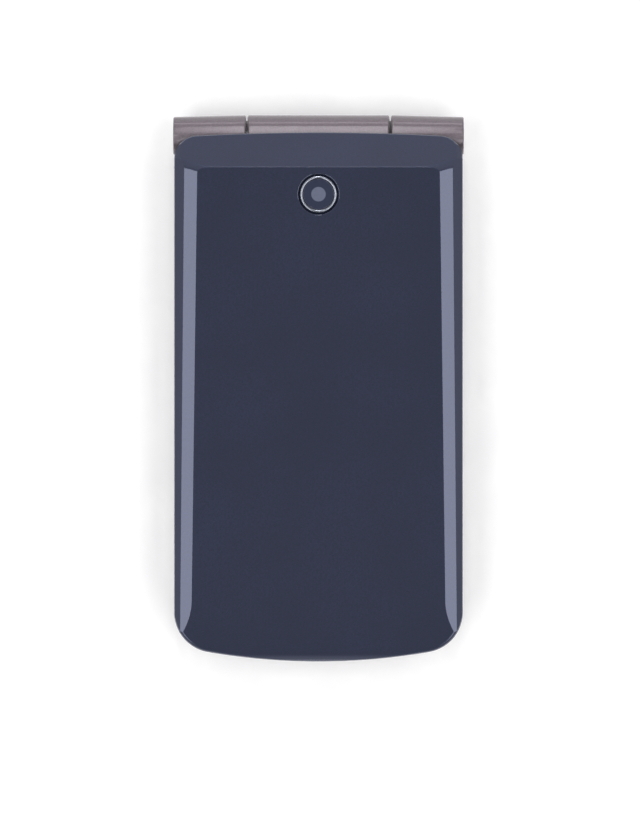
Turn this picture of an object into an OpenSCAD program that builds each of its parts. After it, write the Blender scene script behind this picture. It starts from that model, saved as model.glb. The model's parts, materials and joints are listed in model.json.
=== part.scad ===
// Folding mobile phone, closed, lying on its back.
// X runs across the phone, +Y towards the hinge, +Z out of the lid.
// The origin is under the middle of the back.

/* [Overall] */
// Overall length, from the chin to the outside of the hinge barrel
body_len = 97.7; // [94:0.1:102]
// Width of the lid
lid_w = 51.5; // [50:0.1:54]
// Width of the base
base_w = 50.6; // [50:0.1:53]
// Thickness of the base, from its back to its rim
base_t = 10; // [9.8:0.1:11]
// Thickness of the lid at its thickest place
lid_t = 8; // [7.8:0.1:9]
// Gap between the closed lid and the rim of the base
lid_gap = 0.4; // [0.35:0.05:0.8]

/* [Outline] */
// Corner radius at the chin
chin_r = 7.2; // [6:0.1:9]
// Radius of the bowed chin
chin_bow = 114; // [110:1:220]
// Radius of the bowed chin of the base, flatter than the lid's
base_chin_bow = 142; // [140:1:300]
// Distance that the base stays short of the lid's chin
base_setback = 0.1; // [0:0.05:0.3]
// Corner radius of the lid beside the hinge
brow_r = 4.2; // [3.5:0.1:6]
// Radius of the bowed edge of the lid beside the hinge
brow_bow = 400; // [250:1:600]
// Corner radius of the base beside the hinge
heel_r = 2; // [1.5:0.1:3]
// Radius of the long edges round the back of the base
back_r = 3; // [2:0.1:3.5]

/* [Lid form] */
// Distance that the lid stays short of the outside of the hinge barrel
brow_setback = 3.2; // [3:0.1:3.6]
// Length of the sloping brow beside the hinge
brow_len = 6.3; // [5:0.1:7]
// Height of the sloping brow
brow_drop = 4.2; // [3.5:0.1:4.4]
// Width of the slanted side of the lid, beside the brow
side_w = 4.4; // [4:0.1:5]
// Slope of the slanted side of the lid, in degrees
side_slope = 13; // [10:1:20]
// Radius of the rolled edge outside the slanted side
edge_r = 1.9; // [1.6:0.1:2.4]
// Fall of the lid's face towards the chin, in degrees
face_fall = 0.2; // [0.1:0.02:0.4]
// Length of the rolled end of the face at the chin
roll_len = 10.9; // [9:0.1:13]
// Radius of the rolled end of the face at the chin
roll_r = 45; // [38:1:60]
// Radius of the edge where the face turns over into the chin
chin_edge_r = 4; // [3:0.1:5]

/* [Shells] */
// Wall thickness of every shell
wall = 1.2; // [1:0.05:1.3]
// Height of the joint between the two shells of the base
base_split = 5.3; // [5.2:0.05:5.4]
// Height of the inner frame of the lid
frame_h = 2; // [1.9:0.1:2.4]
// Thickness of the plate under the keys
deck_t = 1; // [0.8:0.05:1.1]
// Depth of the keypad below the rim of the base
deck_sink = 0.5; // [0.4:0.05:0.6]
// Clearance between pieces that are laid or slid together
fit_gap = 0.05; // [0.03:0.01:0.08]
// Gap round a piece that moves in an opening
run_gap = 0.2; // [0.15:0.01:0.25]

/* [Hinge] */
// Radius of the hinge barrel
hinge_r = 3.7; // [3.5:0.05:3.8]
// Height of the hinge axis below the rim of the base
hinge_drop = 0.8; // [0.7:0.05:1]
// Length of the middle barrel
barrel_len = 25.4; // [22:0.1:28]
// Gap between the middle barrel and each ear
barrel_gap = 0.3; // [0.25:0.01:0.4]
// Distance that each ear stands proud of the lid's side
ear_proud = 0.25; // [0.1:0.01:0.4]
// Taper of each ear's radius towards its outer end
ear_taper = 0.3; // [0.1:0.05:0.35]
// Room round the barrel inside the lid and the base
hinge_room = 0.3; // [0.25:0.01:0.4]
// Radius of the bore through the middle barrel
barrel_bore_r = 2; // [1.8:0.01:2.2]
// Radius of the bore in each ear
ear_bore_r = 2.5; // [2.3:0.01:2.6]
// Length of the journals that reach into the middle barrel
journal_len = 4.2; // [3.5:0.1:5]
// Radius of the cam shaft
cam_shaft_r = 0.9; // [0.7:0.01:1]
// Radius of the cap on each ear
ear_cap_r = 2.95; // [2.8:0.01:3.1]
// Thickness of the cap on each ear
ear_cap_t = 0.75; // [0.6:0.05:1]

/* [Keypad] */
// Width of a number key
key_w = 13.4; // [12:0.1:13.8]
// Height of a number key
key_h = 10.4; // [9:0.1:11]
// Gap between keys
key_gap = 1; // [0.9:0.1:1.4]
// Corner radius of the keys
key_r = 1.6; // [1:0.1:2.2]
// Height of the key tops above the deck
key_proud = 0.45; // [0.35:0.01:0.5]
// Width of the flange that holds a key under the deck
key_flange = 0.4; // [0.3:0.01:0.45]
// Travel of a key
key_travel = 0.35; // [0.25:0.01:0.4]
// Width of the navigation rocker
nav_w = 18.6; // [17:0.1:19.5]
// Height of the navigation rocker
nav_h = 21.6; // [20:0.1:23]
// Radius of the round key in the navigation rocker
ok_r = 3.8; // [3.4:0.1:4.4]
// Length of the chin between the keypad and the end of the base
chin_len = 6.6; // [6.2:0.1:7]

/* [Volume rocker] */
// Length of the volume rocker
volume_len = 13; // [11:0.1:15]
// Height of the volume rocker
volume_h = 2.1; // [1.8:0.1:2.3]
// Distance that the volume rocker stands out of the side
volume_proud = 0.4; // [0.3:0.01:0.45]
// Radius of the volume rocker's pin
volume_pin_r = 0.5; // [0.4:0.01:0.6]

/* [Battery] */
// Width of the battery
battery_w = 34; // [32:0.1:35]
// Length of the battery
battery_len = 52; // [48:0.1:53]
// Thickness of the battery
battery_t = 4.4; // [4.2:0.05:4.5]
// Height of the battery cover
cover_h = 1.8; // [1.7:0.05:1.9]
// Thickness of the battery cover's plate
cover_plate_t = 1; // [0.8:0.05:1]
// Travel of the battery cover before it lifts off
cover_travel = 5; // [4:0.1:6]

/* [Display and camera] */
// Width of the clear window over the display
window_w = 43; // [41:0.1:44]
// Length of the clear window over the display
window_len = 68; // [64:0.1:70]
// Thickness of the clear window over the display
window_t = 0.75; // [0.6:0.05:0.8]
// Width of the picture area of the display
picture_w = 36.7; // [34:0.1:37.5]
// Length of the picture area of the display
picture_len = 49; // [46:0.1:50]
// Thickness of the display panel
panel_t = 2.4; // [2:0.05:2.5]
// Distance of the camera from the outside of the hinge barrel
camera_back = 14.35; // [13.5:0.05:15]
// Outside radius of the bright ring round the camera
camera_ring_r = 3.25; // [3:0.01:3.5]
// Width of the bright ring round the camera
camera_ring_w = 0.42; // [0.35:0.01:0.5]
// Groove between the bright ring and the lid
camera_groove = 0.4; // [0.3:0.01:0.5]

/* [Charging socket] */
// Width of the charging socket
charge_w = 7.6; // [7.4:0.1:8]
// Height of the charging socket
charge_h = 2.7; // [2.5:0.05:2.8]
// Depth of the charging socket
charge_len = 5.6; // [5:0.1:5.8]
// Thickness of the charging socket's pressed shell
charge_wall = 0.35; // [0.3:0.01:0.4]
// Distance of the charging socket from the chin
charge_from_chin = 33; // [31:0.1:35]

/* [Screws] */
// Radius of a screw's shank
screw_r = 0.7; // [0.6:0.01:0.8]
// Radius of a screw's head
screw_head_r = 1.2; // [1.1:0.01:1.3]
// Height of a screw's head
screw_head_h = 0.45; // [0.4:0.01:0.5]
// Radius of the boss that a screw enters
boss_r = 1.7; // [1.6:0.01:1.9]

/* [Hidden] */
$fn = 48;

// Longer than the phone, for cuts that run right through it
far = 200;
// Overlap of shapes that are joined into one piece
eps = 0.02;

// Name, column and row of each number key, counted from the middle column and the bottom row
NUMBER_KEYS = [
    ["key_star", -1, 0], ["key_0", 0, 0], ["key_hash", 1, 0],
    ["key_7", -1, 1], ["key_8", 0, 1], ["key_9", 1, 1],
    ["key_4", -1, 2], ["key_5", 0, 2], ["key_6", 1, 2],
    ["key_1", -1, 3], ["key_2", 0, 3], ["key_3", 1, 3]];
// Name, side and row of each key beside the navigation rocker
SIDE_KEYS = [
    ["call_key", -1, 0], ["end_key", 1, 0],
    ["soft_key_left", -1, 1], ["soft_key_right", 1, 1]];

// Heights in the base, stacked down from its rim
deck_top = base_t - deck_sink;
deck_under = deck_top - deck_t;
key_top = deck_top + key_proud;
flange_h = 0.5;
flange_top = deck_under - 2 * fit_gap;
key_foot = flange_top - flange_h;
dome_h = 0.06;
dome_r = 2.2;
dome_sheet_t = 0.08;
dome_top = key_foot - key_travel - 2 * fit_gap;
dome_low = dome_top - dome_h - dome_sheet_t;
board_t = 0.8;
board_top = dome_low - fit_gap;
board_under = board_top - board_t;
under_board = board_under - fit_gap;
bay_top = board_under - 2 * fit_gap;

// Heights in the base, stacked up from its back
plate_low = cover_h + 2 * fit_gap;
plate_t = 0.8;
plate_high = plate_low + plate_t;
battery_z = cover_plate_t + run_gap + 2 * fit_gap;
bay_ceiling = battery_z + battery_t + run_gap;

// Heights in the lid
lid_z = base_t + lid_gap;
lid_top = lid_z + lid_t;
frame_top = lid_z + frame_h;
plate_top = lid_z + wall;
seat_z = plate_top + fit_gap;
lid_board_z = seat_z + panel_t + fit_gap;
camera_z = lid_board_z + board_t + fit_gap;
skin_under = lid_top - wall;

// Places along the phone
chin_y = -body_len / 2;
base_chin_y = chin_y + base_setback;
hinge_y = body_len / 2 - hinge_r;
hinge_z = base_t - hinge_drop;
room_r = hinge_r + hinge_room;
brow_y = body_len / 2 - brow_setback;
heel_back = 0.55;
heel_y = hinge_y - heel_back;
front_overlap = 0.75;
front_end_y = hinge_y - hinge_r + front_overlap;
hinge_wall_y = hinge_y - room_r - wall;
camera_y = body_len / 2 - camera_back;
chin_edge_len = 0.62 * chin_edge_r;

// Places across the hinge
ear_in = barrel_len / 2 + barrel_gap;
ear_out = lid_w / 2 + ear_proud;
cap_in = ear_out - ear_cap_t - fit_gap;
cartridge_in = ear_in + fit_gap;
cartridge_r = ear_bore_r - fit_gap;
cartridge_wall = 0.6;
collar_len = 1.2;
collar_gap = 0.3;
spring_len = cap_in - cartridge_in - 3 * wall - collar_len;

// Keypad layout, stacked up from the chin
pad_margin = 1.3;
pad_r = 3;
pad_low = chin_y + chin_len;
pad_high = hinge_wall_y - 4.5 * wall;
keys_w = 3 * key_w + 2 * key_gap;
row_pitch = key_h + key_gap;
rows_low = pad_low + key_gap;
row_low = rows_low + key_h / 2;
nav_low = rows_low + 4 * row_pitch;
nav_y = nav_low + nav_h / 2;
nav_r = 2 * key_r;
nav_lift = 0.35;
side_key_w = (keys_w - nav_w) / 2 - key_gap;
side_key_h = (nav_h - key_gap) / 2;
side_key_x = nav_w / 2 + key_gap + side_key_w / 2;
trunnion_r = 0.45;
trunnion_len = key_gap - key_flange - 2 * fit_gap;
trunnion_z = deck_under - trunnion_r - fit_gap;
ok_gap = 0.3;
ok_flange = 0.7;
ok_flange_h = 0.2;
ok_flange_room = 0.4;

// Screws, at the same places in the lid and in the base
screw_gap = 0.2;
screw_from_wall = 3;
chin_screw_in = 6.75;
hinge_screw_in = 5.25;
chin_corner_x = lid_w / 2 - chin_r;
chin_corner_y = chin_y + chin_bow - sqrt((chin_bow - chin_r) ^ 2 - chin_corner_x ^ 2);
chin_screw_reach = chin_r - wall - boss_r - screw_gap;
chin_screw_y = chin_corner_y - sqrt(chin_screw_reach ^ 2 - (chin_r - chin_screw_in) ^ 2);
screw_spots = [for (side = [-1, 1])
    each [[side * (lid_w / 2 - chin_screw_in), chin_screw_y],
          [side * (lid_w / 2 - hinge_screw_in), hinge_wall_y - screw_from_wall]]];
screw_slot = [1.2, 0.3, 0.4];
lid_screw_len = 3;
base_screw_len = 3.6;
base_screw_z = plate_high + wall / 2;
bumper_t = 0.6;
bumper_z = lid_z - lid_gap + 2 * fit_gap;
lid_screw_z = bumper_z + bumper_t;

// Battery bay and the boards above it
bay_gap = 0.3;
bay_wall = 0.9;
bay_from_chin = 8.5;
bay_w = battery_w + 2 * bay_gap;
bay_low = chin_y + bay_from_chin;
bay_high = bay_low + battery_len + 2 * bay_gap;
cover_back = 3;
cover_y = bay_high + cover_back;
board_margin = 2.9;
board_w = base_w - 2 * wall - 2 * board_margin;
board_low = bay_low - bay_wall / 2;
board_high = pad_high - bay_wall;
hook_x = bay_w / 2 + bay_wall + 1;
hook_w = 0.6;
hook_len = 1.2;
hook_toe = 2.6;
hook_t = 0.6;
hook_ys = [bay_low + 9, bay_high - 14];
connector_w = 11.2;
connector_len = 4;
connector_back = bay_high + bay_wall + connector_len;
contact_w = 1;
contact_h = 1.6;
contact_pitch = 3.6;
sim_size = [14, 16];
sim_slot = [11, 13.5];
sim_roof = 0.2;
sim_at = [-8, bay_low + 15];

// Pieces beyond the battery bay
speaker_w = 15;
speaker_t = 3.2;
speaker_low = connector_back + 3 * run_gap;
speaker_high = hinge_wall_y - 2 * screw_from_wall - run_gap;
speaker_len = speaker_high - speaker_low;
speaker_from_side = 4.1;
speaker_mesh_t = 0.1;
speaker_slot_w = 0.9;
speaker_slot_in = 3.5;
speaker_slot_taper = 0.1;
speaker_slot_pitch = 1.8;
speaker_at = [
    -base_w / 2 + wall + speaker_from_side + speaker_w / 2,
    (speaker_low + speaker_high) / 2];
can_t = 0.3;
motor_r = 2;
motor_len = 9;
weight_len = 2.6;
motor_shaft_r = 0.4;
motor_at = [6, hinge_wall_y - 3.4];
antenna_size = [28, 3.7];
mic_size = [4, 2.6, 1.1];
mic_from_chin = 3.7;
mic_hole_r = 0.5;
charge_y = chin_y + charge_from_chin;
charge_z = under_board - charge_h / 2;
charge_sink = 0.35;
charge_tongue = 0.6;
volume_y = nav_y + 2;
volume_lift = 0.65;
volume_z = base_split + volume_lift + volume_h / 2;
volume_pin_in = 0.7;
volume_pin_x = -base_w / 2 + wall + volume_pin_in;
volume_pin_z = base_t - volume_pin_in;
volume_lug = [0.9, 1.6];
volume_room = 0.35;

// Pieces of the lid
display_from_chin = 11.2;
display_y = chin_y + display_from_chin + window_len / 2;
window_r = 3;
picture_margin = 0.5;
panel_margin = [2.2, 4];
lid_board_margin = [0.5, 5];
camera_tab_w = 16;
camera_tab_past = 4.6;
camera_block = [8, 1.25];
camera_lens_r = 1.4;
camera_lens_h = 0.35;
camera_bowl = 0.5;
camera_drop = 0.3;
ring_flange = camera_groove + 0.3;
ring_flange_t = 0.3;
ring_proud = 0.05;
camera_glass_t = 0.6;
camera_glass_sink = 0.2;
earpiece_from_chin = 6.2;
earpiece_y = chin_y + earpiece_from_chin;
earpiece_size = [13, 5, 2.15];
earpiece_slot = [11, 1.4];
mesh_size = [12.4, 2.4, 0.2];
mesh_seat = 0.28;
magnet_size = [5, 2.4, 1.55];
magnet_gap = 0.3;
magnet_x = chin_screw_in + boss_r + magnet_gap + (magnet_size[0] - lid_w) / 2;

// Points along an arc, from step i to step j of n
function arc(c, r, a, b, n, i, j) =
    [for (k = [i:j]) c + r * [cos(a + (b - a) * k / n), sin(a + (b - a) * k / n)]];

// Outline of a slab with bowed ends and round corners, drawn in by d
function slab(w, low, high, r_low, r_high, bow_low, bow_high, d) =
    let (x_low = w / 2 - r_low)
    let (x_high = w / 2 - r_high)
    let (t_low = asin(x_low / (bow_low - r_low)))
    let (t_high = asin(x_high / (bow_high - r_high)))
    let (y_low = low + bow_low - (bow_low - r_low) * cos(t_low))
    let (y_high = high - bow_high + (bow_high - r_high) * cos(t_high))
    concat(
        arc([0, low + bow_low], bow_low - d, 270 - t_low, 270 + t_low, 12, 0, 12),
        arc([x_low, y_low], r_low - d, 270 + t_low, 360, 8, 1, 8),
        arc([x_high, y_high], r_high - d, 0, 90 - t_high, 8, 0, 8),
        arc([0, high - bow_high], bow_high - d, 90 - t_high, 90 + t_high, 8, 1, 8),
        arc([-x_high, y_high], r_high - d, 90 + t_high, 180, 8, 1, 8),
        arc([-x_low, y_low], r_low - d, 180, 270 - t_low, 8, 0, 7));

// Outline of the lid, drawn in by d
function lid_outline(d) = slab(lid_w, chin_y, brow_y, chin_r, brow_r, chin_bow, brow_bow, d);

// Outline of the base, drawn in by d
function base_outline(d) = slab(base_w, base_chin_y, heel_y, chin_r, heel_r, base_chin_bow, 5 * far, d);

// Outline of a rectangle with round corners
function round_box(w, h, r) =
    concat(
        arc([w / 2 - r, h / 2 - r], r, 0, 90, 6, 0, 6),
        arc([-w / 2 + r, h / 2 - r], r, 90, 180, 6, 0, 6),
        arc([-w / 2 + r, -h / 2 + r], r, 180, 270, 6, 0, 6),
        arc([w / 2 - r, -h / 2 + r], r, 270, 360, 6, 0, 6));

// Slab between two heights
module prism(points, low, high) {
    translate([0, 0, low])
        linear_extrude(high - low)
            polygon(points);
}

// Block between two corners
module block(a, b) {
    translate(a)
        cube(b - a);
}

// Bar along the hinge axis
module hinge_bar(from, to, r) {
    translate([from, hinge_y, hinge_z])
        rotate([0, 90, 0])
            cylinder(h = to - from, r = r);
}

// Upright pin
module post(at, low, high, r) {
    translate([at[0], at[1], low])
        cylinder(h = high - low, r = r);
}

// Profile along the phone, drawn as height over Y and run across it
module across(points) {
    rotate([90, 0, 90])
        linear_extrude(2 * far, center = true)
            polygon(points);
}

// Profile across the phone, drawn as height over X and run along it
module along(points) {
    rotate([90, 0, 0])
        linear_extrude(2 * far, center = true)
            polygon(points);
}

// Length profile of the lid, drawn in by d: brow, face, rolled chin and its rounded edge
function lid_side(d) =
    let (brow_a = atan(brow_drop / brow_len))
    let (face_n = [-sin(face_fall), cos(face_fall)])
    let (brow_n = [sin(brow_a), cos(brow_a)])
    let (crease = [brow_y - brow_len, lid_top])
    let (face_len = crease[0] - chin_y - roll_len)
    let (roll_start = crease - face_len * [cos(face_fall), sin(face_fall)])
    let (roll_c = roll_start - roll_r * face_n)
    let (edge_a = 90 + face_fall + asin((roll_len - chin_edge_len) / roll_r))
    let (edge_c = roll_c + (roll_r - chin_edge_r) * [cos(edge_a), sin(edge_a)])
    let (crease_in = crease - d * (face_n + brow_n) / (1 + face_n * brow_n))
    let (brow_end = crease_in + 3 * brow_len * [cos(brow_a), -sin(brow_a)])
    concat(
        [[-far, 0], [brow_end[0], 0], brow_end, crease_in],
        arc(roll_c, roll_r - d, 90 + face_fall, edge_a, 4, 0, 4),
        arc(edge_c, chin_edge_r - d, edge_a, 170, 6, 1, 6));

// Cross profile of the lid, drawn in by d: face, slanted sides and rolled edges
function lid_front(d) =
    let (slant = side_w - edge_r * (1 - sin(side_slope)))
    let (edge_z = lid_top - slant * tan(side_slope) - edge_r * cos(side_slope))
    let (edge = arc([lid_w / 2 - edge_r, edge_z], edge_r - d, 0, 90 - side_slope, 6, 0, 6))
    let (above = edge[6] + 2 * side_w * [-cos(side_slope), sin(side_slope)])
    let (half = concat([[lid_w / 2 - d, 0]], edge, [above]))
    concat(half, [for (i = [1:len(half)]) [-half[len(half) - i][0], half[len(half) - i][1]]]);

// Outside of the lid, drawn in by d
module lid_form(d) {
    intersection() {
        prism(lid_outline(d), 0, far);
        across(lid_side(d));
        along(lid_front(d));
    }
}

// Outside of the base, drawn in by d
module base_form(d) {
    intersection() {
        prism(base_outline(d), 0, base_t);
        along(concat(
            [[base_w / 2 - d, far], [-base_w / 2 + d, far]],
            arc([-base_w / 2 + back_r, back_r], back_r - d, 180, 270, 6, 0, 6),
            arc([base_w / 2 - back_r, back_r], back_r - d, 270, 360, 6, 0, 6)));
        across(concat(
            [[heel_y - d, far], [base_chin_y + d, far]],
            arc([base_chin_y + back_r, back_r], back_r - d, 180, 270, 6, 0, 6),
            arc([heel_y - heel_r, heel_r], heel_r - d, 270, 360, 6, 0, 6)));
    }
}

// Glossy outer shell of the lid
module lid_outer_cover() {
    color("#343a4c")
    difference() {
        union() {
            difference() {
                lid_form(0);
                block([-far, -far, -far], [far, far, frame_top + fit_gap]);
                difference() {
                    lid_form(wall);
                    hinge_bar(-far, far, room_r + wall);
                }
            }
            intersection() {
                lid_form(wall / 2);
                for (s = screw_spots)
                    post(s, seat_z, lid_top, boss_r);
            }
        }
        hinge_bar(-far, far, room_r);
        post([0, camera_y], frame_top, far, camera_ring_r + camera_groove);
        for (s = screw_spots)
            post(s, 0, lid_screw_z + screw_head_h + lid_screw_len + run_gap, screw_r + fit_gap);
    }
}

// Frame round the display, with the web that carries the middle barrel
module lid_inner_frame() {
    color("#8f868d")
    difference() {
        union() {
            difference() {
                prism(lid_outline(0), lid_z, frame_top);
                prism(lid_outline(wall), plate_top, far);
                hinge_bar(-far, far, room_r);
            }
            difference() {
                block(
                    [-barrel_len / 2, hinge_wall_y, lid_z],
                    [barrel_len / 2, hinge_y - hinge_r / 2, frame_top]);
                hinge_bar(-far, far, hinge_r + fit_gap);
            }
        }
        translate([0, display_y]) {
            prism(
                round_box(window_w + 4 * fit_gap, window_len + 4 * fit_gap, window_r + 2 * fit_gap),
                0, lid_z + window_t + 2 * fit_gap);
            prism(
                round_box(picture_w + 2 * picture_margin, picture_len + 2 * picture_margin, wall / 2),
                0, far);
        }
        translate([0, earpiece_y]) {
            prism(round_box(earpiece_slot[0], earpiece_slot[1], earpiece_slot[1] / 2 - eps), 0, far);
            prism(
                round_box(mesh_size[0] + run_gap, mesh_size[1] + run_gap, wall / 2),
                plate_top - mesh_seat, far);
        }
        for (s = screw_spots) {
            post(s, 0, far, screw_r + 2 * fit_gap);
            post(s, 0, lid_screw_z + screw_head_h + fit_gap, screw_head_r + 2 * fit_gap);
        }
    }
}

// Middle barrel of the hinge, which turns with the lid
module hinge_barrel() {
    color("#9a9098")
    difference() {
        hinge_bar(-barrel_len / 2, barrel_len / 2, hinge_r);
        hinge_bar(-far, far, barrel_bore_r);
    }
}

// Bright ring round the camera, held under the lid's skin by its flange
module camera_ring() {
    reach = camera_ring_r + ring_flange;
    fall = (brow_y - brow_len - camera_y + reach) * tan(face_fall);
    inner_crease = brow_y - brow_len - wall * tan(atan(brow_drop / brow_len) / 2);
    past = max(0, camera_y + reach - inner_crease) * brow_drop / brow_len;
    flange_z = skin_under - max(fall, past) - fit_gap;
    color("#c4c6cf")
    difference() {
        union() {
            post([0, camera_y], flange_z - ring_flange_t, lid_top + ring_proud, camera_ring_r);
            post([0, camera_y], flange_z - ring_flange_t, flange_z, camera_ring_r + ring_flange);
        }
        post([0, camera_y], 0, far, camera_ring_r - camera_ring_w);
    }
}

// Clear disc over the camera
module camera_window() {
    top = lid_top - camera_glass_sink;
    color("#3b3f52")
    post([0, camera_y], top - camera_glass_t, top, camera_ring_r - camera_ring_w - fit_gap);
}

// Camera body and lens barrel, standing on the lid's board
module camera_module() {
    top = skin_under - camera_drop;
    barrel_r = camera_ring_r - camera_ring_w - camera_drop - fit_gap;
    color("#202228")
    translate([0, camera_y]) {
        difference() {
            union() {
                prism(
                    round_box(camera_block[0], camera_block[0], wall / 2),
                    camera_z, camera_z + camera_block[1]);
                post([0, 0], camera_z, top, barrel_r);
            }
            post([0, 0], top - camera_bowl, far, barrel_r - camera_bowl);
        }
        translate([0, 0, top - camera_bowl - eps])
            cylinder(h = camera_lens_h, r1 = camera_lens_r, r2 = camera_lens_r - camera_lens_h);
    }
}

// Clear window over the display, flush with the inside of the lid
module display_window() {
    color("#16181d")
    translate([0, display_y])
        prism(round_box(window_w, window_len, window_r), lid_z + fit_gap, lid_z + fit_gap + window_t);
}

// Display panel behind the window
module display_panel() {
    color("#2a2d33")
    translate([0, display_y])
        prism(
            round_box(picture_w + 2 * panel_margin[0], picture_len + 2 * panel_margin[1], wall / 2),
            seat_z, seat_z + panel_t);
}

// Circuit board of the lid, with a tab that carries the camera
module lid_board() {
    top = lid_board_z + board_t;
    tab_y = camera_y + camera_tab_past;
    color("#2f5a3c")
    union() {
        translate([0, display_y])
            prism(
                round_box(picture_w + 2 * lid_board_margin[0], picture_len + 2 * lid_board_margin[1], wall),
                lid_board_z, top);
        block(
            [-camera_tab_w / 2, display_y + picture_len / 2, lid_board_z],
            [camera_tab_w / 2, tab_y, top]);
    }
}

// Earpiece capsule
module earpiece() {
    color("#3a3a3e")
    translate([0, earpiece_y])
        prism(round_box(earpiece_size[0], earpiece_size[1], wall), seat_z, seat_z + earpiece_size[2]);
}

// Fine mesh behind the earpiece slot
module earpiece_mesh() {
    color("#1b1b1d")
    translate([0, earpiece_y])
        prism(
            round_box(mesh_size[0], mesh_size[1], wall / 2 - run_gap / 2),
            plate_top - mesh_seat, plate_top - mesh_seat + mesh_size[2]);
}

// Soft plugs that cover the lid's screws and meet the rim of the base
module lid_bumpers() {
    color("#2b2b2f")
    for (s = screw_spots)
        post(s, bumper_z, lid_screw_z - fit_gap, screw_head_r + fit_gap);
}

// One screw, its slotted head at the bottom
module screw(low, length) {
    difference() {
        union() {
            post([0, 0], low, low + screw_head_h, screw_head_r);
            post([0, 0], low + screw_head_h - eps, low + screw_head_h + length, screw_r);
        }
        for (turn = [0, 90])
            translate([0, 0, low])
                rotate(turn)
                    cube(screw_slot, center = true);
    }
}

// Screws that hold the two halves of the lid together
module lid_screws() {
    color("#777a80")
    for (s = screw_spots)
        translate(s)
            screw(lid_screw_z, lid_screw_len);
}

// Magnet that tells the base that the lid is shut
module lid_magnet() {
    color("#6f7278")
    translate([magnet_x - magnet_size[0] / 2, earpiece_y - magnet_size[1] / 2, seat_z])
        cube(magnet_size);
}

// Cam shaft of the hinge: its head turns with the middle barrel, its collar pulls against the spring
module hinge_cam_shaft() {
    collar_in = cartridge_in + wall + spring_len + collar_gap;
    color("#8b8d92")
    union() {
        hinge_bar(barrel_len / 2 - journal_len, barrel_len / 2, barrel_bore_r - fit_gap / 2);
        hinge_bar(barrel_len / 2 - eps, collar_in + collar_len, cam_shaft_r);
        hinge_bar(collar_in, collar_in + collar_len, cartridge_r - cartridge_wall - run_gap);
    }
}

// Rolled ribbon that carries the display's signals through the middle barrel
module hinge_flex() {
    turns = 2.5;
    steps = 50;
    pitch = 0.36;
    film = 0.12;
    outer = barrel_bore_r - 3 * fit_gap;
    half = barrel_len / 2 - journal_len - collar_gap;
    roll = function (r, i) (r - pitch * turns * i / steps)
        * [cos(360 * turns * i / steps), sin(360 * turns * i / steps)];
    color("#b8752f")
    translate([-half, hinge_y, hinge_z])
        rotate([0, 90, 0])
            linear_extrude(2 * half)
                polygon(concat(
                    [for (i = [0:steps]) roll(outer, i)],
                    [for (i = [0:steps]) roll(outer - film, steps - i)]));
}

// Opening for the charging socket, shared by both shells of the base
module charge_cut() {
    half_w = charge_w / 2 + run_gap;
    half_h = charge_h / 2 + run_gap;
    block(
        [-far, charge_y - half_w, charge_z - half_h],
        [-base_w / 2 + wall + eps, charge_y + half_w, charge_z + half_h]);
}

// Place of one number key
module number_key_place(k) {
    translate([k[1] * (key_w + key_gap), row_low + k[2] * row_pitch])
        children();
}

// Place of one key beside the navigation rocker
module side_key_place(k) {
    translate([k[1] * side_key_x, nav_y + (k[2] - 0.5) * (side_key_h + key_gap)])
        children();
}

// Opening in the deck for one key, with room to move
module key_opening(w, h, r) {
    prism(round_box(w + 2 * run_gap, h + 2 * run_gap, r + run_gap), deck_under - deck_t, far);
}

// One ear of the hinge with the neck that joins it to the base
module ear(side) {
    neck_from = side > 0 ? ear_in : -base_w / 2;
    neck_to = side > 0 ? base_w / 2 : -ear_in;
    translate([side * ear_in, hinge_y, hinge_z])
        rotate([0, side * 90, 0])
            cylinder(h = ear_out - ear_in, r1 = hinge_r, r2 = hinge_r - ear_taper);
    block([neck_from, hinge_wall_y, base_split], [neck_to, hinge_y, hinge_z]);
}

// Upper shell of the base: rim, keypad deck and the two ears of the hinge
module base_front_frame() {
    color("#9a9098")
    difference() {
        union() {
            difference() {
                intersection() {
                    base_form(0);
                    block([-far, -far, base_split], [far, front_end_y, base_t]);
                }
                intersection() {
                    base_form(wall);
                    block([-far, -far, 0], [far, hinge_wall_y, deck_under]);
                }
                translate([0, (pad_low + pad_high) / 2])
                    prism(round_box(keys_w + 2 * pad_margin, pad_high - pad_low, pad_r), deck_top, far);
                hinge_bar(-far, far, room_r);
            }
            ear(-1);
            ear(1);
            for (s = screw_spots)
                post(s, base_split + fit_gap, deck_under + eps, boss_r);
        }
        hinge_bar(-far, far, ear_bore_r);
        hinge_bar(cap_in, far, ear_cap_r + fit_gap);
        hinge_bar(-far, -cap_in, ear_cap_r + fit_gap);
        for (k = NUMBER_KEYS)
            number_key_place(k)
                key_opening(key_w, key_h, key_r);
        for (k = SIDE_KEYS)
            side_key_place(k)
                key_opening(side_key_w, side_key_h, key_r);
        translate([0, nav_y])
            key_opening(nav_w, nav_h, nav_r);
        for (s = screw_spots)
            post(s, 0, base_screw_z + screw_head_h + base_screw_len + run_gap, screw_r + fit_gap);
        post([0, chin_y + mic_from_chin], 0, far, mic_hole_r);
        translate([0, volume_y, volume_z])
            block(
                [-far, -volume_len / 2 - volume_room, -volume_h / 2 - run_gap],
                [-base_w / 2 + wall + eps, volume_len / 2 + volume_room, volume_h / 2 + run_gap]);
        post([volume_pin_x, volume_y], 0, volume_pin_z, volume_pin_r + fit_gap / 2);
        charge_cut();
    }
}

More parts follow.
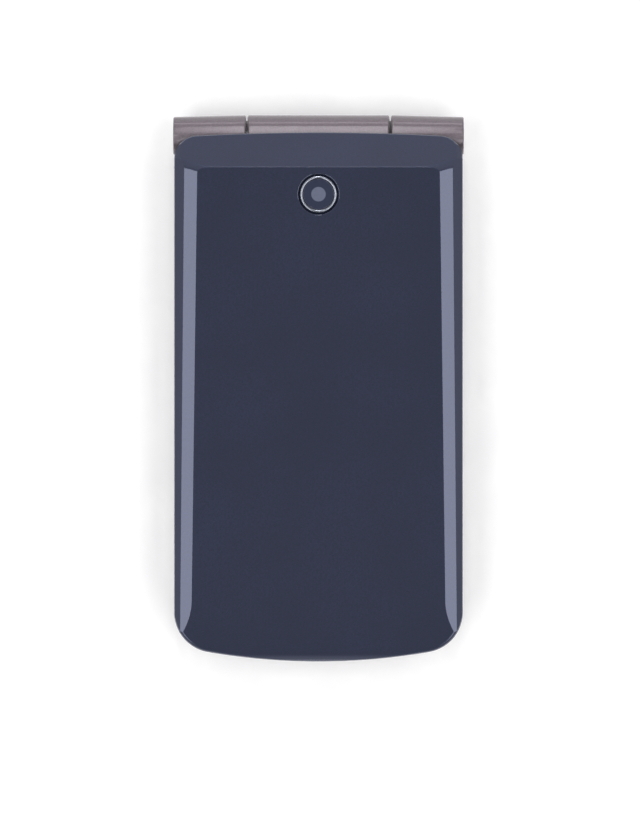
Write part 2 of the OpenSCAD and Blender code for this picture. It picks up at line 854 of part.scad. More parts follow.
// Lower shell of the base, with the battery bay
module base_rear_housing() {
    shelf_z = min(hinge_z - room_r, base_split);
    color("#8f868d")
    difference() {
        union() {
            difference() {
                intersection() {
                    base_form(0);
                    block([-far, -far, 0], [far, far, base_split]);
                }
                base_form(wall);
                block([-far, -far, -far], [far, cover_y, plate_low]);
                block([-far, front_end_y, shelf_z], [far, far, far]);
            }
            intersection() {
                base_form(wall / 2);
                union() {
                    block([-far, -far, plate_low], [far, cover_y + wall, plate_high]);
                    block([-far, cover_y, 0], [far, cover_y + wall, plate_high]);
                    block([-far, hinge_wall_y, shelf_z - plate_t], [far, far, shelf_z]);
                    for (s = screw_spots)
                        post(s, s[1] < cover_y ? plate_low : 0, base_split, boss_r + run_gap);
                }
            }
            block(
                [-bay_w / 2 - bay_wall, bay_low - bay_wall, plate_low],
                [bay_w / 2 + bay_wall, bay_high + bay_wall, bay_top]);
        }
        block([-bay_w / 2, bay_low, -far], [bay_w / 2, bay_high, bay_ceiling]);
        block(
            [-connector_w / 2 - run_gap, bay_high - eps, plate_high],
            [connector_w / 2 + run_gap, bay_high + bay_wall + eps, bay_ceiling - run_gap]);
        translate(sim_at)
            prism(
                round_box(sim_size[0] + 2 * run_gap, sim_size[1] + 2 * run_gap, run_gap),
                bay_ceiling - eps, far);
        for (s = screw_spots) {
            post(s, -far, far, screw_r + 2 * fit_gap);
            post(s, -far, base_screw_z + screw_head_h + fit_gap, screw_head_r + 2 * fit_gap);
        }
        for (side = [-1, 1], y = hook_ys)
            translate([side * hook_x, y, 0])
                block(
                    [-hook_w / 2 - run_gap, -cover_travel - run_gap, 0],
                    [hook_w / 2 + run_gap, hook_len + run_gap, plate_high + eps]);
        for (i = [-3:3])
            translate([speaker_at[0] + i * speaker_slot_pitch, speaker_at[1]])
                prism(
                    round_box(
                        speaker_slot_w,
                        (speaker_len - 2 * speaker_slot_in) * (1 - abs(i) * speaker_slot_taper),
                        speaker_slot_w / 2 - eps),
                    -eps, wall + eps);
        charge_cut();
    }
}

// Main circuit board
module main_board() {
    color("#2f5a3c")
    translate([0, (board_low + board_high) / 2])
        prism(round_box(board_w, board_high - board_low, pad_r), board_under, board_top);
}

// Sheet of snap domes that the keys press on
module dome_sheet() {
    sheet_len = nav_low + nav_h - rows_low;
    color("#b9bcc2")
    union() {
        translate([0, rows_low + sheet_len / 2])
            prism(round_box(board_w - 4 * fit_gap, sheet_len, key_r), dome_low, dome_low + dome_sheet_t);
        for (k = NUMBER_KEYS)
            number_key_place(k)
                post([0, 0], dome_low, dome_top, dome_r);
        for (k = SIDE_KEYS)
            side_key_place(k)
                post([0, 0], dome_low, dome_top, dome_r);
        for (row = [-1, 0, 1])
            post([0, nav_y + row * (nav_h / 2 - dome_r - trunnion_r)], dome_low, dome_top, dome_r);
    }
}

// Flat rechargeable battery
module battery() {
    color("#3c3f45")
    translate([0, (bay_low + bay_high) / 2])
        prism(round_box(battery_w, battery_len, wall), battery_z, battery_z + battery_t);
}

// Block that carries the battery contacts, under the main board
module battery_connector() {
    half_w = connector_w / 2;
    color("#1d1e20")
    union() {
        block([-half_w, bay_high, plate_high + fit_gap], [half_w, connector_back, bay_ceiling - 2 * run_gap]);
        block(
            [-half_w, bay_high + bay_wall + run_gap, plate_high + fit_gap],
            [half_w, connector_back, under_board]);
    }
}

// Sprung contacts that touch the end of the battery
module battery_contacts() {
    low = plate_high + 2 * run_gap;
    color("#c9a24b")
    for (i = [-1:1])
        block(
            [i * contact_pitch - contact_w / 2, bay_high - bay_gap + fit_gap, low],
            [i * contact_pitch + contact_w / 2, bay_high, low + contact_h]);
}

// SIM card holder on the underside of the main board
module sim_holder() {
    low = battery_z + battery_t + fit_gap;
    color("#a9adb3")
    translate([sim_at[0], sim_at[1], 0])
        difference() {
            prism(round_box(sim_size[0], sim_size[1], run_gap), low, under_board);
            translate([0, -sim_size[1] / 2, low - eps])
                linear_extrude(under_board - sim_roof - low + eps)
                    square([sim_slot[0], 2 * sim_slot[1]], center = true);
        }
}

// Pressed metal can over the radio parts, above the loudspeaker
module shield_can() {
    low = wall + 2 * run_gap + speaker_t + run_gap;
    color("#a9adb3")
    translate(speaker_at)
        difference() {
            prism(round_box(speaker_w, speaker_len, wall), low, under_board);
            prism(round_box(speaker_w - 2 * can_t, speaker_len - 2 * can_t, wall), low + can_t, far);
        }
}

// Loudspeaker behind the slots in the back
module loudspeaker() {
    low = wall + fit_gap + speaker_mesh_t + fit_gap;
    color("#2b2c30")
    translate(speaker_at)
        prism(round_box(speaker_w, speaker_len, pad_r), low, low + speaker_t);
}

// Fine mesh between the loudspeaker and the slots
module loudspeaker_mesh() {
    color("#1b1b1d")
    translate(speaker_at)
        prism(
            round_box(speaker_w - wall, speaker_len - wall, pad_r - wall / 2),
            wall + fit_gap, wall + fit_gap + speaker_mesh_t);
}

// Motor that makes the phone buzz, with its offset weight
module vibration_motor() {
    body_len_x = motor_len - weight_len - 2 * run_gap;
    color("#8b8d92")
    translate([motor_at[0], motor_at[1], wall + 2 * fit_gap + motor_r])
        rotate([0, 90, 0])
            union() {
                cylinder(h = body_len_x, r = motor_r);
                cylinder(h = motor_len, r = motor_shaft_r);
                intersection() {
                    translate([0, 0, motor_len - weight_len])
                        cylinder(h = weight_len, r = motor_r - 2 * fit_gap);
                    block([-far, 0, 0], [far, far, far]);
                }
            }
}

// Moulded carrier of the antenna, in the chin
module antenna_carrier() {
    high_y = bay_low - bay_wall - run_gap;
    color("#d8d6cf")
    block(
        [-antenna_size[0] / 2, high_y - antenna_size[1], plate_high + fit_gap],
        [antenna_size[0] / 2, high_y, base_split - run_gap]);
}

// Microphone under its hole in the chin
module microphone() {
    top = deck_under - fit_gap;
    color("#9b9ea4")
    translate([0, chin_y + mic_from_chin])
        prism(round_box(mic_size[0], mic_size[1], run_gap), top - mic_size[2], top);
}

// Charging socket: a pressed shell with its tongue, open to the left side
module charging_socket() {
    half_w = charge_w / 2;
    half_h = charge_h / 2;
    color("#b4b7bc")
    translate([-base_w / 2 + charge_sink, charge_y, charge_z])
        union() {
            difference() {
                block([0, -half_w, -half_h], [charge_len, half_w, half_h]);
                block(
                    [-eps, charge_wall - half_w, charge_wall - half_h],
                    [charge_len - 2 * charge_wall, half_w - charge_wall, half_h - charge_wall]);
            }
            block([2 * charge_wall, -half_w / 2, 0], [charge_len - charge_wall, half_w / 2, charge_tongue]);
        }
}

// Screws that hold the two shells of the base together
module base_screws() {
    color("#777a80")
    for (s = screw_spots)
        translate(s)
            screw(base_screw_z, base_screw_len);
}

// Cartridge of the hinge, fixed in the right ear
module hinge_cartridge() {
    color("#8b8d92")
    difference() {
        hinge_bar(cartridge_in, cap_in - fit_gap, cartridge_r);
        hinge_bar(cartridge_in + wall, cap_in - wall, cartridge_r - cartridge_wall);
        hinge_bar(0, cartridge_in + 2 * wall, cam_shaft_r + fit_gap);
    }
}

// Coil spring in the cartridge, round the cam shaft
module hinge_spring() {
    turns = 6;
    steps = 12;
    sides = 6;
    wire_r = 0.16;
    coil_r = cam_shaft_r + wire_r + 2 * run_gap;
    count = turns * steps;
    from = cartridge_in + wall + wire_r + fit_gap;
    length = spring_len - 2 * wire_r - 2 * fit_gap;
    ring = [for (i = [0:count]) for (j = [0:sides - 1])
        let (a = 360 * i / steps)
        let (b = 360 * j / sides)
        let (r = coil_r + wire_r * cos(b))
        [from + length * i / count + wire_r * sin(b), r * cos(a), r * sin(a)]];
    sleeve = [for (i = [0:count - 1]) for (j = [0:sides - 1])
        let (k = (j + 1) % sides)
        each [[i * sides + j, i * sides + k, (i + 1) * sides + k],
              [i * sides + j, (i + 1) * sides + k, (i + 1) * sides + j]]];
    start_cap = [for (j = [1:sides - 2]) [0, j + 1, j]];
    end_cap = [for (j = [1:sides - 2]) [count * sides, count * sides + j, count * sides + j + 1]];
    color("#a3a6ab")
    translate([0, hinge_y, hinge_z])
        polyhedron(ring, concat(sleeve, start_cap, end_cap));
}

// Plain bush of the hinge, fixed in the left ear, with its journal in the middle barrel
module hinge_bush() {
    color("#8b8d92")
    difference() {
        union() {
            hinge_bar(fit_gap - cap_in, -cartridge_in, cartridge_r);
            hinge_bar(-cartridge_in - eps, journal_len - barrel_len / 2, barrel_bore_r - fit_gap);
        }
        hinge_bar(-far, far, barrel_bore_r - cartridge_wall - run_gap);
    }
}

// Caps that close the ends of the ears
module hinge_caps() {
    color("#9a9098") {
        hinge_bar(cap_in + fit_gap, ear_out, ear_cap_r);
        hinge_bar(-ear_out, -cap_in - fit_gap, ear_cap_r);
    }
}

// Steel pin that the volume rocker turns on
module volume_pin() {
    color("#a3a6ab")
    post([volume_pin_x, volume_y], base_split + 2 * fit_gap, volume_pin_z - fit_gap, volume_pin_r);
}

// One key: its cap, and the flange that holds it under the deck
module key_shape(w, h) {
    prism(round_box(w, h, key_r), flange_top - eps, key_top);
    prism(round_box(w + 2 * key_flange, h + 2 * key_flange, key_r + key_flange), key_foot, flange_top);
}

// One number key
module number_key(k) {
    color("#2c2f3a")
    number_key_place(k)
        key_shape(key_w, key_h);
}

// One key beside the navigation rocker
module side_key(k) {
    color("#2c2f3a")
    side_key_place(k)
        key_shape(side_key_w, side_key_h);
}

// Navigation rocker, which tilts up and down on two round trunnions under the deck
module nav_rocker() {
    hole_r = ok_r + ok_gap;
    color("#9a9098")
    translate([0, nav_y])
        difference() {
            union() {
                prism(round_box(nav_w, nav_h, nav_r), key_foot + nav_lift, key_top);
                for (side = [-1, 1])
                    translate([side * nav_w / 2, 0, trunnion_z])
                        rotate([0, 90, 0])
                            cylinder(h = 2 * trunnion_len, r = trunnion_r, center = true);
            }
            post([0, 0], 0, far, hole_r);
            post([0, 0], 0, key_foot + ok_flange_h + ok_flange_room, hole_r + ok_flange);
        }
}

// Round key in the middle of the navigation rocker
module ok_key() {
    color("#2c2f3a")
    translate([0, nav_y]) {
        post([0, 0], key_foot, key_top, ok_r);
        post([0, 0], key_foot, key_foot + ok_flange_h, ok_r + ok_flange);
    }
}

// Volume rocker on the left side, which turns on its pin
module volume_rocker() {
    side = -base_w / 2;
    lug_in = volume_pin_x + volume_lug[0];
    color("#2c2f3a")
    difference() {
        translate([0, volume_y, volume_z]) {
            translate([side - volume_proud, 0, 0])
                rotate([90, 0, 90])
                    linear_extrude(wall + volume_proud - run_gap)
                        polygon(round_box(volume_len, volume_h, volume_h / 2 - eps));
            block(
                [side + wall - run_gap - eps, -volume_lug[1], -volume_h / 2],
                [lug_in, volume_lug[1], volume_h / 2]);
        }
        post([volume_pin_x, volume_y], 0, far, volume_pin_r + fit_gap);
    }
}

// Cover over the battery bay, with the hooks that hold it
module battery_cover() {
    hook_top = plate_high + run_gap + hook_t;
    color("#8f868d")
    union() {
        difference() {
            intersection() {
                base_form(0);
                block([-far, -far, 0], [far, cover_y - 2 * fit_gap, cover_h]);
            }
            intersection() {
                base_form(cover_plate_t);
                union() {
                    block([-far, -far, 0], [far, cover_y - wall, far]);
                    block([-bay_w / 2, bay_low, 0], [bay_w / 2, far, far]);
                }
            }
        }
        for (side = [-1, 1], y = hook_ys)
            translate([side * hook_x, y, 0]) {
                block([-hook_w / 2, 0, cover_plate_t - eps], [hook_w / 2, hook_len, hook_top]);
                block([-hook_w / 2, 0, plate_high + run_gap], [hook_w / 2, hook_len + hook_toe, hook_top]);
            }
    }
}

lid_outer_cover();
lid_inner_frame();
hinge_barrel();
camera_ring();
camera_window();
camera_module();
display_window();
display_panel();
lid_board();
earpiece();
earpiece_mesh();
lid_bumpers();
lid_screws();
lid_magnet();
hinge_cam_shaft();
hinge_flex();
base_front_frame();
base_rear_housing();
main_board();
dome_sheet();
battery();
battery_connector();
battery_contacts();
sim_holder();
shield_can();
loudspeaker();
loudspeaker_mesh();
vibration_motor();
antenna_carrier();
microphone();
charging_socket();
base_screws();
hinge_cartridge();
hinge_spring();
hinge_bush();
hinge_caps();
volume_pin();
nav_rocker();
ok_key();
volume_rocker();
battery_cover();
for (k = NUMBER_KEYS)
    number_key(k);
for (k = SIDE_KEYS)
    side_key(k);
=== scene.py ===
"""Looks of a folding mobile phone that lies closed on its back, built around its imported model."""

import json
import math

import bmesh
import bpy
from mathutils import Matrix, Vector


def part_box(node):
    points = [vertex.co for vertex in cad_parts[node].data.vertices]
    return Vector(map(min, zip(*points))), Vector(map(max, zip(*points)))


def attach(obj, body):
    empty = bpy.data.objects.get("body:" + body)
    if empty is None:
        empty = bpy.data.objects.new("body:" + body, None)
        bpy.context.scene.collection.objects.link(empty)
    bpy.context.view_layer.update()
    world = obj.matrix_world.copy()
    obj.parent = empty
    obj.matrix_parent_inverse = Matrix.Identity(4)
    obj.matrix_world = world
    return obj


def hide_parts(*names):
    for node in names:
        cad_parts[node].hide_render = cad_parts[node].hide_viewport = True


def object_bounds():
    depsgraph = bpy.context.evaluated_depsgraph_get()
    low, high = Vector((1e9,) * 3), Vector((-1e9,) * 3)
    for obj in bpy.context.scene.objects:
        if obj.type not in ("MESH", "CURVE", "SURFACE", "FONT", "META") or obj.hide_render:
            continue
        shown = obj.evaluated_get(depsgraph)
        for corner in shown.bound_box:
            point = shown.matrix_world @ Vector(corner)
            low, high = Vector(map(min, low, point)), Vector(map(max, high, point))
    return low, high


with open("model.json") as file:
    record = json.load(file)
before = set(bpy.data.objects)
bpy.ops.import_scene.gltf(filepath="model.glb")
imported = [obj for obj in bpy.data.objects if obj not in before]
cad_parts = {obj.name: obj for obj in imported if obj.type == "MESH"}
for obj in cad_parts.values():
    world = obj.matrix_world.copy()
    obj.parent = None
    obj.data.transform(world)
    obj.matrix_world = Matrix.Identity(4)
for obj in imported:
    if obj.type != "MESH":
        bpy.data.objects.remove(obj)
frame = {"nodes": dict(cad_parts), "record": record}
cad_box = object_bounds()
nodes = frame["nodes"]
scene = bpy.context.scene
MM = 0.001
X_AXIS = Vector((1, 0, 0))
Z_AXIS = Vector((0, 0, 1))

# Distances under which points are merged, and under which two lengths are taken as equal
SAME = 1e-7
MERGE = 10 * SAME
SHAVE_MERGE = 20 * SAME
NEAR = 0.003 * MM
# A face looks along a direction if the cosine between them is above this
FACING = 0.99
# A wall is upright if its normal rises or falls less than this
UPRIGHT_Z = 0.1
# Faces of a CAD node are joined under the first angle and rounded over the second, in degrees
LEVEL_ANGLE = 0.4
SHARP_ANGLE = 32
# Half length of a tool that has to reach right through a piece
THROUGH = 4 * MM

# Form of the lid's outer cover; slopes and falls are in degrees
CHIN_R = 7.2 * MM
CHIN_BOW = 114 * MM
CHIN_EDGE_R = 0.8 * MM
BROW_R = 4.2 * MM
BROW_BOW = 400 * MM
BROW_EDGE_R = 0.4 * MM
BROW_LEN = 6.3 * MM
BROW_DROP = 4.2 * MM
BROW_SIDE_W = 1.1 * MM
BROW_SIDE_SLOPE = 28
SIDE_W = 4.13 * MM
SIDE_SLOPE = 13
SIDE_FALL = 0.03
EDGE_R = 1.9 * MM
EDGE_SLOPE = 35
EDGE_IN = 0.1 * MM
EDGE_SOFT = 0.5 * MM
EDGE_FALL = -0.17
EDGE_LEVEL_Y = -11 * MM
FACE_FALL = 0.2
ROLL_LEN = 10.9 * MM
ROLL_R = 45 * MM
TURN_R = 4 * MM
TURN_LEN = 0.62 * TURN_R
TURN_END = 150
CREASE_R = 0.2 * MM
BROW_CREASE_R = 0.07 * MM
MITRE_R = 3.2 * MM
LID_WALL = 1.2 * MM
LID_SEAM = 0.05 * MM
SEAM_EDGE_R = 0.12 * MM
# Planes whose normals have a cosine above this meet without a rounding
BLUNT = 0.97
# Numbers of planes along the lid's roundings and arcs
OUTLINE_STEPS = 14
ROLL_STEPS = 8
TURN_STEPS = 12
MITRE_STEPS = 24
MITRE_CREASE_STEPS = 5
CREASE_STEPS = 6
SOFT_STEPS = 4
WALL_STEPS = 8
# The lid's hollow follows every third plane
HOLLOW_SKIP = 3

# Hinge
HINGE_ROOM = 0.3 * MM
EAR_GAP = 0.3 * MM
EAR_TAPER = 0.3 * MM
EAR_NEAR = 0.02 * MM
BARREL_BORE_R = 2 * MM
BARREL_RIM_R = 0.35 * MM
WASHER_DROP = 1.0 * MM
WASHER_BORE_R = 2.2 * MM
WASHER_RIM_R = 0.04 * MM
CAP_THICK = 0.7 * MM
CAP_EDGE_R = 0.2 * MM
CAP_RIM_W = 0.5 * MM
CAP_DISH_W = 0.3 * MM
CAP_DISH_D = 0.12 * MM

# Camera
CAMERA_GROOVE = 0.4 * MM
HOLE_EDGE_R = 0.1 * MM
HOLE_EDGE_D = 0.2 * MM
RING_GRIP = 0.3 * MM
RING_FLANGE = CAMERA_GROOVE + RING_GRIP
RING_FLANGE_H = 0.3 * MM
RING_WALL = 0.42 * MM
RING_EDGE_R = 0.16 * MM
GASKET_GAP = 0.05 * MM
GASKET_H = 0.7 * MM
GASKET_EDGE_R = 0.05 * MM
PANE_EDGE_R = 0.12 * MM
LENS_R = 1.3 * MM
EYE_FADE = 1.24 * MM, 1.34 * MM

# How much of the display its window's printed border covers at the sides and the ends
BORDER_SIDE = 2.2 * MM
BORDER_END = 4 * MM
BORDER_BLUR = 0.08 * MM

# Keys and their signs
KEY_FLANGE = 0.4 * MM
KEY_FLANGE_H = 0.5 * MM
KEY_CORNER_R = 1.6 * MM
KEY_EDGE_R = 0.4 * MM
KEY_RIM_W = 0.4 * MM
DISH_W = 0.5 * MM
DISH_D = 0.05 * MM
PRINT_SINK = 0.045 * MM
PRINT_H = 0.012 * MM
DIGIT_H = 4.8 * MM
DIGIT_X = -3.1 * MM
LETTER_H = 2.1 * MM
LETTERS_AT = Vector((2.2 * MM, -0.6 * MM, 0))
# The star and the plus fill less of their line than other signs
STAR_H = 8 * MM
PLUS_H = 3.4 * MM
HANDSET_LEN = 4.6 * MM
HANDSET_W = 1.0 * MM
HANDSET_PAD = 1.0 * MM
HANDSET_R = 0.4 * MM
BAR_REACH = Vector((1.7 * MM, 0.35 * MM, PRINT_H))
BAR_R = 0.3 * MM
KEY_SIGNS = {
    "key_1": ("1", ""), "key_2": ("2", "ABC"), "key_3": ("3", "DEF"), "key_4": ("4", "GHI"),
    "key_5": ("5", "JKL"), "key_6": ("6", "MNO"), "key_7": ("7", "PQRS"), "key_8": ("8", "TUV"),
    "key_9": ("9", "WXYZ"), "key_star": ("*", ""), "key_0": ("0", "+"), "key_hash": ("#", "")}

# Navigation rocker, the key in it and the volume rocker's signs
NAV_CORNER_R = 3.2 * MM
NAV_EDGE_R = 0.45 * MM
NAV_LIFT = 0.35 * MM
NAV_HOLE_R = 0.3 * MM
PIN_LEN = 0.5 * MM
PIN_R = 0.45 * MM
PIN_EDGE_R = 0.1 * MM
ARROW_R = 0.9 * MM
ARROW_IN = 2.6 * MM
ARROW_CORNER_R = 0.15 * MM
OK_FLANGE = 0.7 * MM
OK_FLANGE_H = 0.2 * MM
OK_ROOM_H = 0.6 * MM
OK_GAP = 0.3 * MM
OK_EDGE_R = 0.4 * MM
OK_RIM_W = 0.3 * MM
OK_SIGN_H = 2.9 * MM
VOLUME_SIGN_IN = 2.6 * MM
VOLUME_SIGN = Vector((0.03 * MM, 0.55 * MM, 0.13 * MM))

# Places that the frame gives
lid_low, lid_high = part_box("lid_outer_cover")
barrel_low, barrel_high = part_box("hinge_barrel")
ring_low, ring_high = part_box("camera_ring")
pane_low, pane_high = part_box("camera_window")
window_low, window_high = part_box("display_window")
panel_low, panel_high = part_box("display_panel")
frame_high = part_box("lid_inner_frame")[1]
hinge_r = (barrel_high.y - barrel_low.y) / 2
hinge_axis = Vector((0, barrel_low.y + hinge_r, barrel_low.z + hinge_r))
ear_in = barrel_high.x + EAR_GAP
camera_at = (pane_low + pane_high) / 2
ring_r = (ring_high.x - ring_low.x) / 2


# Work with the tools of edit mode

def alone(piece):
    """Leaves this piece selected and active, and nothing else."""
    bpy.ops.object.select_all(action="DESELECT")
    piece.select_set(True)
    bpy.context.view_layer.objects.active = piece


def named(name):
    """Names the object that was just added and puts its place into its mesh."""
    piece = bpy.context.object
    piece.name = name
    piece.data.name = name
    bpy.ops.object.transform_apply(location=True, rotation=True, scale=True)
    return piece


def block(name, low, high):
    """A box between two corners."""
    bpy.ops.object.select_all(action="DESELECT")
    low, high = Vector(low), Vector(high)
    bpy.ops.mesh.primitive_cube_add(size=1, location=(low + high) / 2, scale=high - low)
    return named(name)


def rod(name, start, end, r, sides=96):
    """A round bar from one point to another."""
    bpy.ops.object.select_all(action="DESELECT")
    turn = (end - start).to_track_quat("Z", "Y").to_euler()
    bpy.ops.mesh.primitive_cylinder_add(
        vertices=sides, radius=r, depth=(end - start).length, location=(start + end) / 2, rotation=turn)
    return named(name)


def on_axis(x):
    """The point of the hinge's axis at a distance from the middle."""
    return hinge_axis + x * X_AXIS


def over(place, z):
    """The point above or below a place at a height."""
    return Vector((place.x, place.y, z))


def edit(piece, kind, test):
    """Opens a piece in edit mode with the faces, edges or points that pass a test selected."""
    if bpy.context.mode != "OBJECT":
        bpy.ops.object.mode_set(mode="OBJECT")
    alone(piece)
    bpy.ops.object.mode_set(mode="EDIT")
    scene.tool_settings.mesh_select_mode = (kind == "VERT", kind == "EDGE", kind == "FACE")
    bpy.ops.mesh.select_all(action="DESELECT")
    mesh = bmesh.from_edit_mesh(piece.data)
    for part in {"VERT": mesh.verts, "EDGE": mesh.edges, "FACE": mesh.faces}[kind]:
        if test(part):
            part.select_set(True)
    mesh.select_flush_mode()
    bmesh.update_edit_mesh(piece.data)


def done():
    """Leaves edit mode."""
    bpy.ops.object.mode_set(mode="OBJECT")


def is_at(value, aim):
    """Whether two lengths are the same place."""
    return abs(value - aim) < NEAR


def upright(edge):
    """Whether an edge runs along Z."""
    a, b = edge.verts
    return is_at(a.co.x, b.co.x) and is_at(a.co.y, b.co.y)


def level(z):
    """A test for the edges at a height."""
    return lambda edge: all(is_at(v.co.z, z) for v in edge.verts)


def hinge_rim(r):
    """A test for the edges of circles round the hinge's axis."""
    return lambda edge: is_at(edge.verts[0].co.x, edge.verts[1].co.x) and all(
        is_at((v.co - hinge_axis).yz.length, r) for v in edge.verts)


def round_edges(piece, test, r, steps):
    """Bevels the edges that pass a test."""
    edit(piece, "EDGE", test)
    bpy.ops.mesh.bevel(offset=r, segments=steps, affect="EDGES", clamp_overlap=False)
    done()


def bore(bar, axis, wall):
    """Opens a round bar from end to end and leaves a wall."""
    edit(bar, "FACE", lambda face: abs(face.normal.dot(axis)) > FACING)
    bpy.ops.mesh.inset(thickness=wall, depth=0)
    bpy.ops.mesh.bridge_edge_loops()
    done()


def sink_dish(cap, axis, rim, wide, deep):
    """Sinks a shallow dish into the end of a cap."""
    edit(cap, "FACE", lambda face: face.normal.dot(axis) > FACING)
    bpy.ops.mesh.inset(thickness=rim, depth=0)
    bpy.ops.mesh.inset(thickness=wide, depth=-deep)
    done()


def add_flange(cap, wider_x, wider_y, thick):
    """Widens the foot of a cap into a flange below it."""
    edit(cap, "FACE", lambda face: face.normal.z < -FACING)
    bpy.ops.mesh.extrude_region_move(TRANSFORM_OT_translate={"value": (0, 0, 0)})
    bpy.ops.transform.resize(value=(wider_x, wider_y, 1))
    bpy.ops.mesh.extrude_region_move(TRANSFORM_OT_translate={"value": (0, 0, -thick)})
    done()


def apply_modifier(piece, kind, **settings):
    """Adds a modifier with its settings and applies it."""
    alone(piece)
    modifier = piece.modifiers.new(kind.title(), kind)
    for key, value in settings.items():
        setattr(modifier, key, value)
    bpy.ops.object.modifier_apply(modifier=modifier.name)


def combine(piece, other, operation):
    """Adds another piece's space to a piece or takes it out, and deletes that other piece."""
    apply_modifier(piece, "BOOLEAN", operation=operation, solver="EXACT", object=other)
    bpy.data.objects.remove(other)


def cut_out(piece, cutter):
    """Takes a cutter's space out of a piece."""
    combine(piece, cutter, "DIFFERENCE")


def clean(piece, near):
    """Joins points that nearly meet, drops faces without area or neighbour, turns all faces outward."""
    edit(piece, "FACE", lambda face: True)
    bpy.ops.mesh.remove_doubles(threshold=near)
    bpy.ops.mesh.dissolve_degenerate(threshold=near)
    edit(piece, "FACE", lambda face: any(edge.is_boundary for edge in face.edges))
    bpy.ops.mesh.delete(type="FACE")
    bpy.ops.mesh.select_all(action="SELECT")
    bpy.ops.mesh.normals_make_consistent(inside=False)
    done()


def smooth(piece, angle):
    """Shades a piece smooth across all edges that are flatter than an angle in degrees."""
    clean(piece, MERGE)
    alone(piece)
    bpy.ops.object.shade_smooth_by_angle(angle=math.radians(angle))
    apply_modifier(piece, "WEIGHTED_NORMAL", mode="FACE_AREA", weight=60, keep_sharp=True)
    return piece


def wear(piece, body, slot, *replaced, finish=None):
    """Gives a piece the finish of its slot or the finish given, hangs it on its body, and hides the CAD
    nodes that it stands for.
    """
    piece.data.materials.clear()
    piece.data.materials.append(finish or finishes[slot])
    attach(piece, body)
    if replaced:
        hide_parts(*replaced)
    return piece


def copy_of(piece, name, offset):
    """A copy with its own mesh, moved by an offset."""
    alone(piece)
    bpy.ops.object.duplicate(linked=False)
    bpy.context.object.location = offset
    return named(name)


# Colours and nodes

def colour(code):
    """An sRGB hex colour as linear values."""
    parts = [int(code[i:i + 2], 16) / 255 for i in (1, 3, 5)]
    return [c / 12.92 if c <= 0.04045 else ((c + 0.055) / 1.055) ** 2.4 for c in parts] + [1]


def add(tree, kind, sockets=None, links=None, **settings):
    """Adds a node with its settings, its sockets' values and the outputs that feed it."""
    node = tree.nodes.new(kind)
    for key, value in settings.items():
        setattr(node, key, value)
    for key, value in (sockets or {}).items():
        node.inputs[key].default_value = value
    for key, (other, output) in (links or {}).items():
        tree.links.new(other.outputs[output], node.inputs[key])
    return node


def begin(name, sockets):
    """A new material with one shader, and the node that gives Object coordinates."""
    made = bpy.data.materials.new(name)
    made.use_nodes = True
    tree = made.node_tree
    tree.nodes.clear()
    shader = add(tree, "ShaderNodeBsdfPrincipled", sockets)
    add(tree, "ShaderNodeOutputMaterial", links={"Surface": (shader, "BSDF")})
    place = add(tree, "ShaderNodeTexCoord")
    return made, tree, shader, place


def per(size):
    """Scale of a texture whose features are this many millimetres wide."""
    return 1 / (size * MM)


def noise(tree, place, size, detail=2.0):
    """A cloudy pattern with features of a size in millimetres."""
    return add(
        tree, "ShaderNodeTexNoise",
        {"Scale": per(size), "Detail": detail}, {"Vector": (place, "Object")})


def cells(tree, place, size):
    """A pattern of cells of a size in millimetres."""
    return add(tree, "ShaderNodeTexVoronoi", {"Scale": per(size)}, {"Vector": (place, "Object")})


def span(tree, value, low, high, start=0.0, stop=1.0):
    """A value carried over from one range to another."""
    return add(
        tree, "ShaderNodeMapRange",
        {"From Min": start, "From Max": stop, "To Min": low, "To Max": high}, {"Value": value})


def maths(tree, operation, *values):
    """A sum on one or two values."""
    return add(tree, "ShaderNodeMath", links=dict(enumerate(values)), operation=operation)


def tones(tree, dark, light, share):
    """A colour between two others."""
    return add(
        tree, "ShaderNodeMixRGB", {"Color1": colour(dark), "Color2": colour(light)}, {"Fac": share})


def relief(tree, strength, depth, height):
    """Bumps of a depth in millimetres."""
    return add(
        tree, "ShaderNodeBump", {"Strength": strength, "Distance": depth * MM}, {"Height": height})


def feed(tree, shader, tone, gloss, bumps=None):
    """Gives a shader its colour, its roughness and its bumps."""
    tree.links.new(tone.outputs["Color"], shader.inputs["Base Color"])
    tree.links.new(gloss.outputs["Result"], shader.inputs["Roughness"])
    if bumps:
        tree.links.new(bumps.outputs["Normal"], shader.inputs["Normal"])


def textured(name, dark, light, grain, rough, bump, sockets):
    """A finish with a fine grain, a drift of tone over 9 mm, uneven gloss and a little relief."""
    made, tree, shader, place = begin(name, sockets)
    fine = noise(tree, place, grain, 3.0)
    slow = noise(tree, place, 9)
    both = maths(tree, "MULTIPLY", (fine, "Fac"), (slow, "Fac"))
    share = span(tree, (both, 0), 0.0, 1.0, 0.12, 0.4)
    gloss = span(tree, (fine, "Fac"), *rough, 0.3, 0.7)
    bumps = relief(tree, 0.5, bump, (fine, "Fac"))
    feed(tree, shader, tones(tree, dark, light, (share, "Result")), gloss, bumps)
    return made


def navy_lacquer():
    """Moulded ABS under dark blue lacquer: a deep wet gloss over a faint pearl."""
    made, tree, shader, place = begin("navy_lacquer_on_abs", {
        "Metallic": 0.0, "IOR": 1.5, "Specular IOR Level": 0.42, "Specular Tint": colour("#96adff"),
        "Coat Weight": 1.0, "Coat Roughness": 0.03, "Coat IOR": 1.5})
    # The pearl's flakes are about 0.05 mm, drawn at 0.25 mm so that they show
    flake = cells(tree, place, 0.25)
    slow = noise(tree, place, 14)
    glint = span(tree, (flake, "Color"), 0.0, 0.6)
    both = maths(tree, "MULTIPLY", (glint, "Result"), (slow, "Fac"))
    peel = noise(tree, place, 3, 1.0)
    feed(tree, shader, tones(tree, "#272b3a", "#32374b", (both, 0)),
         span(tree, (slow, "Fac"), 0.1, 0.18), relief(tree, 0.1, 0.004, (peel, "Fac")))
    return made


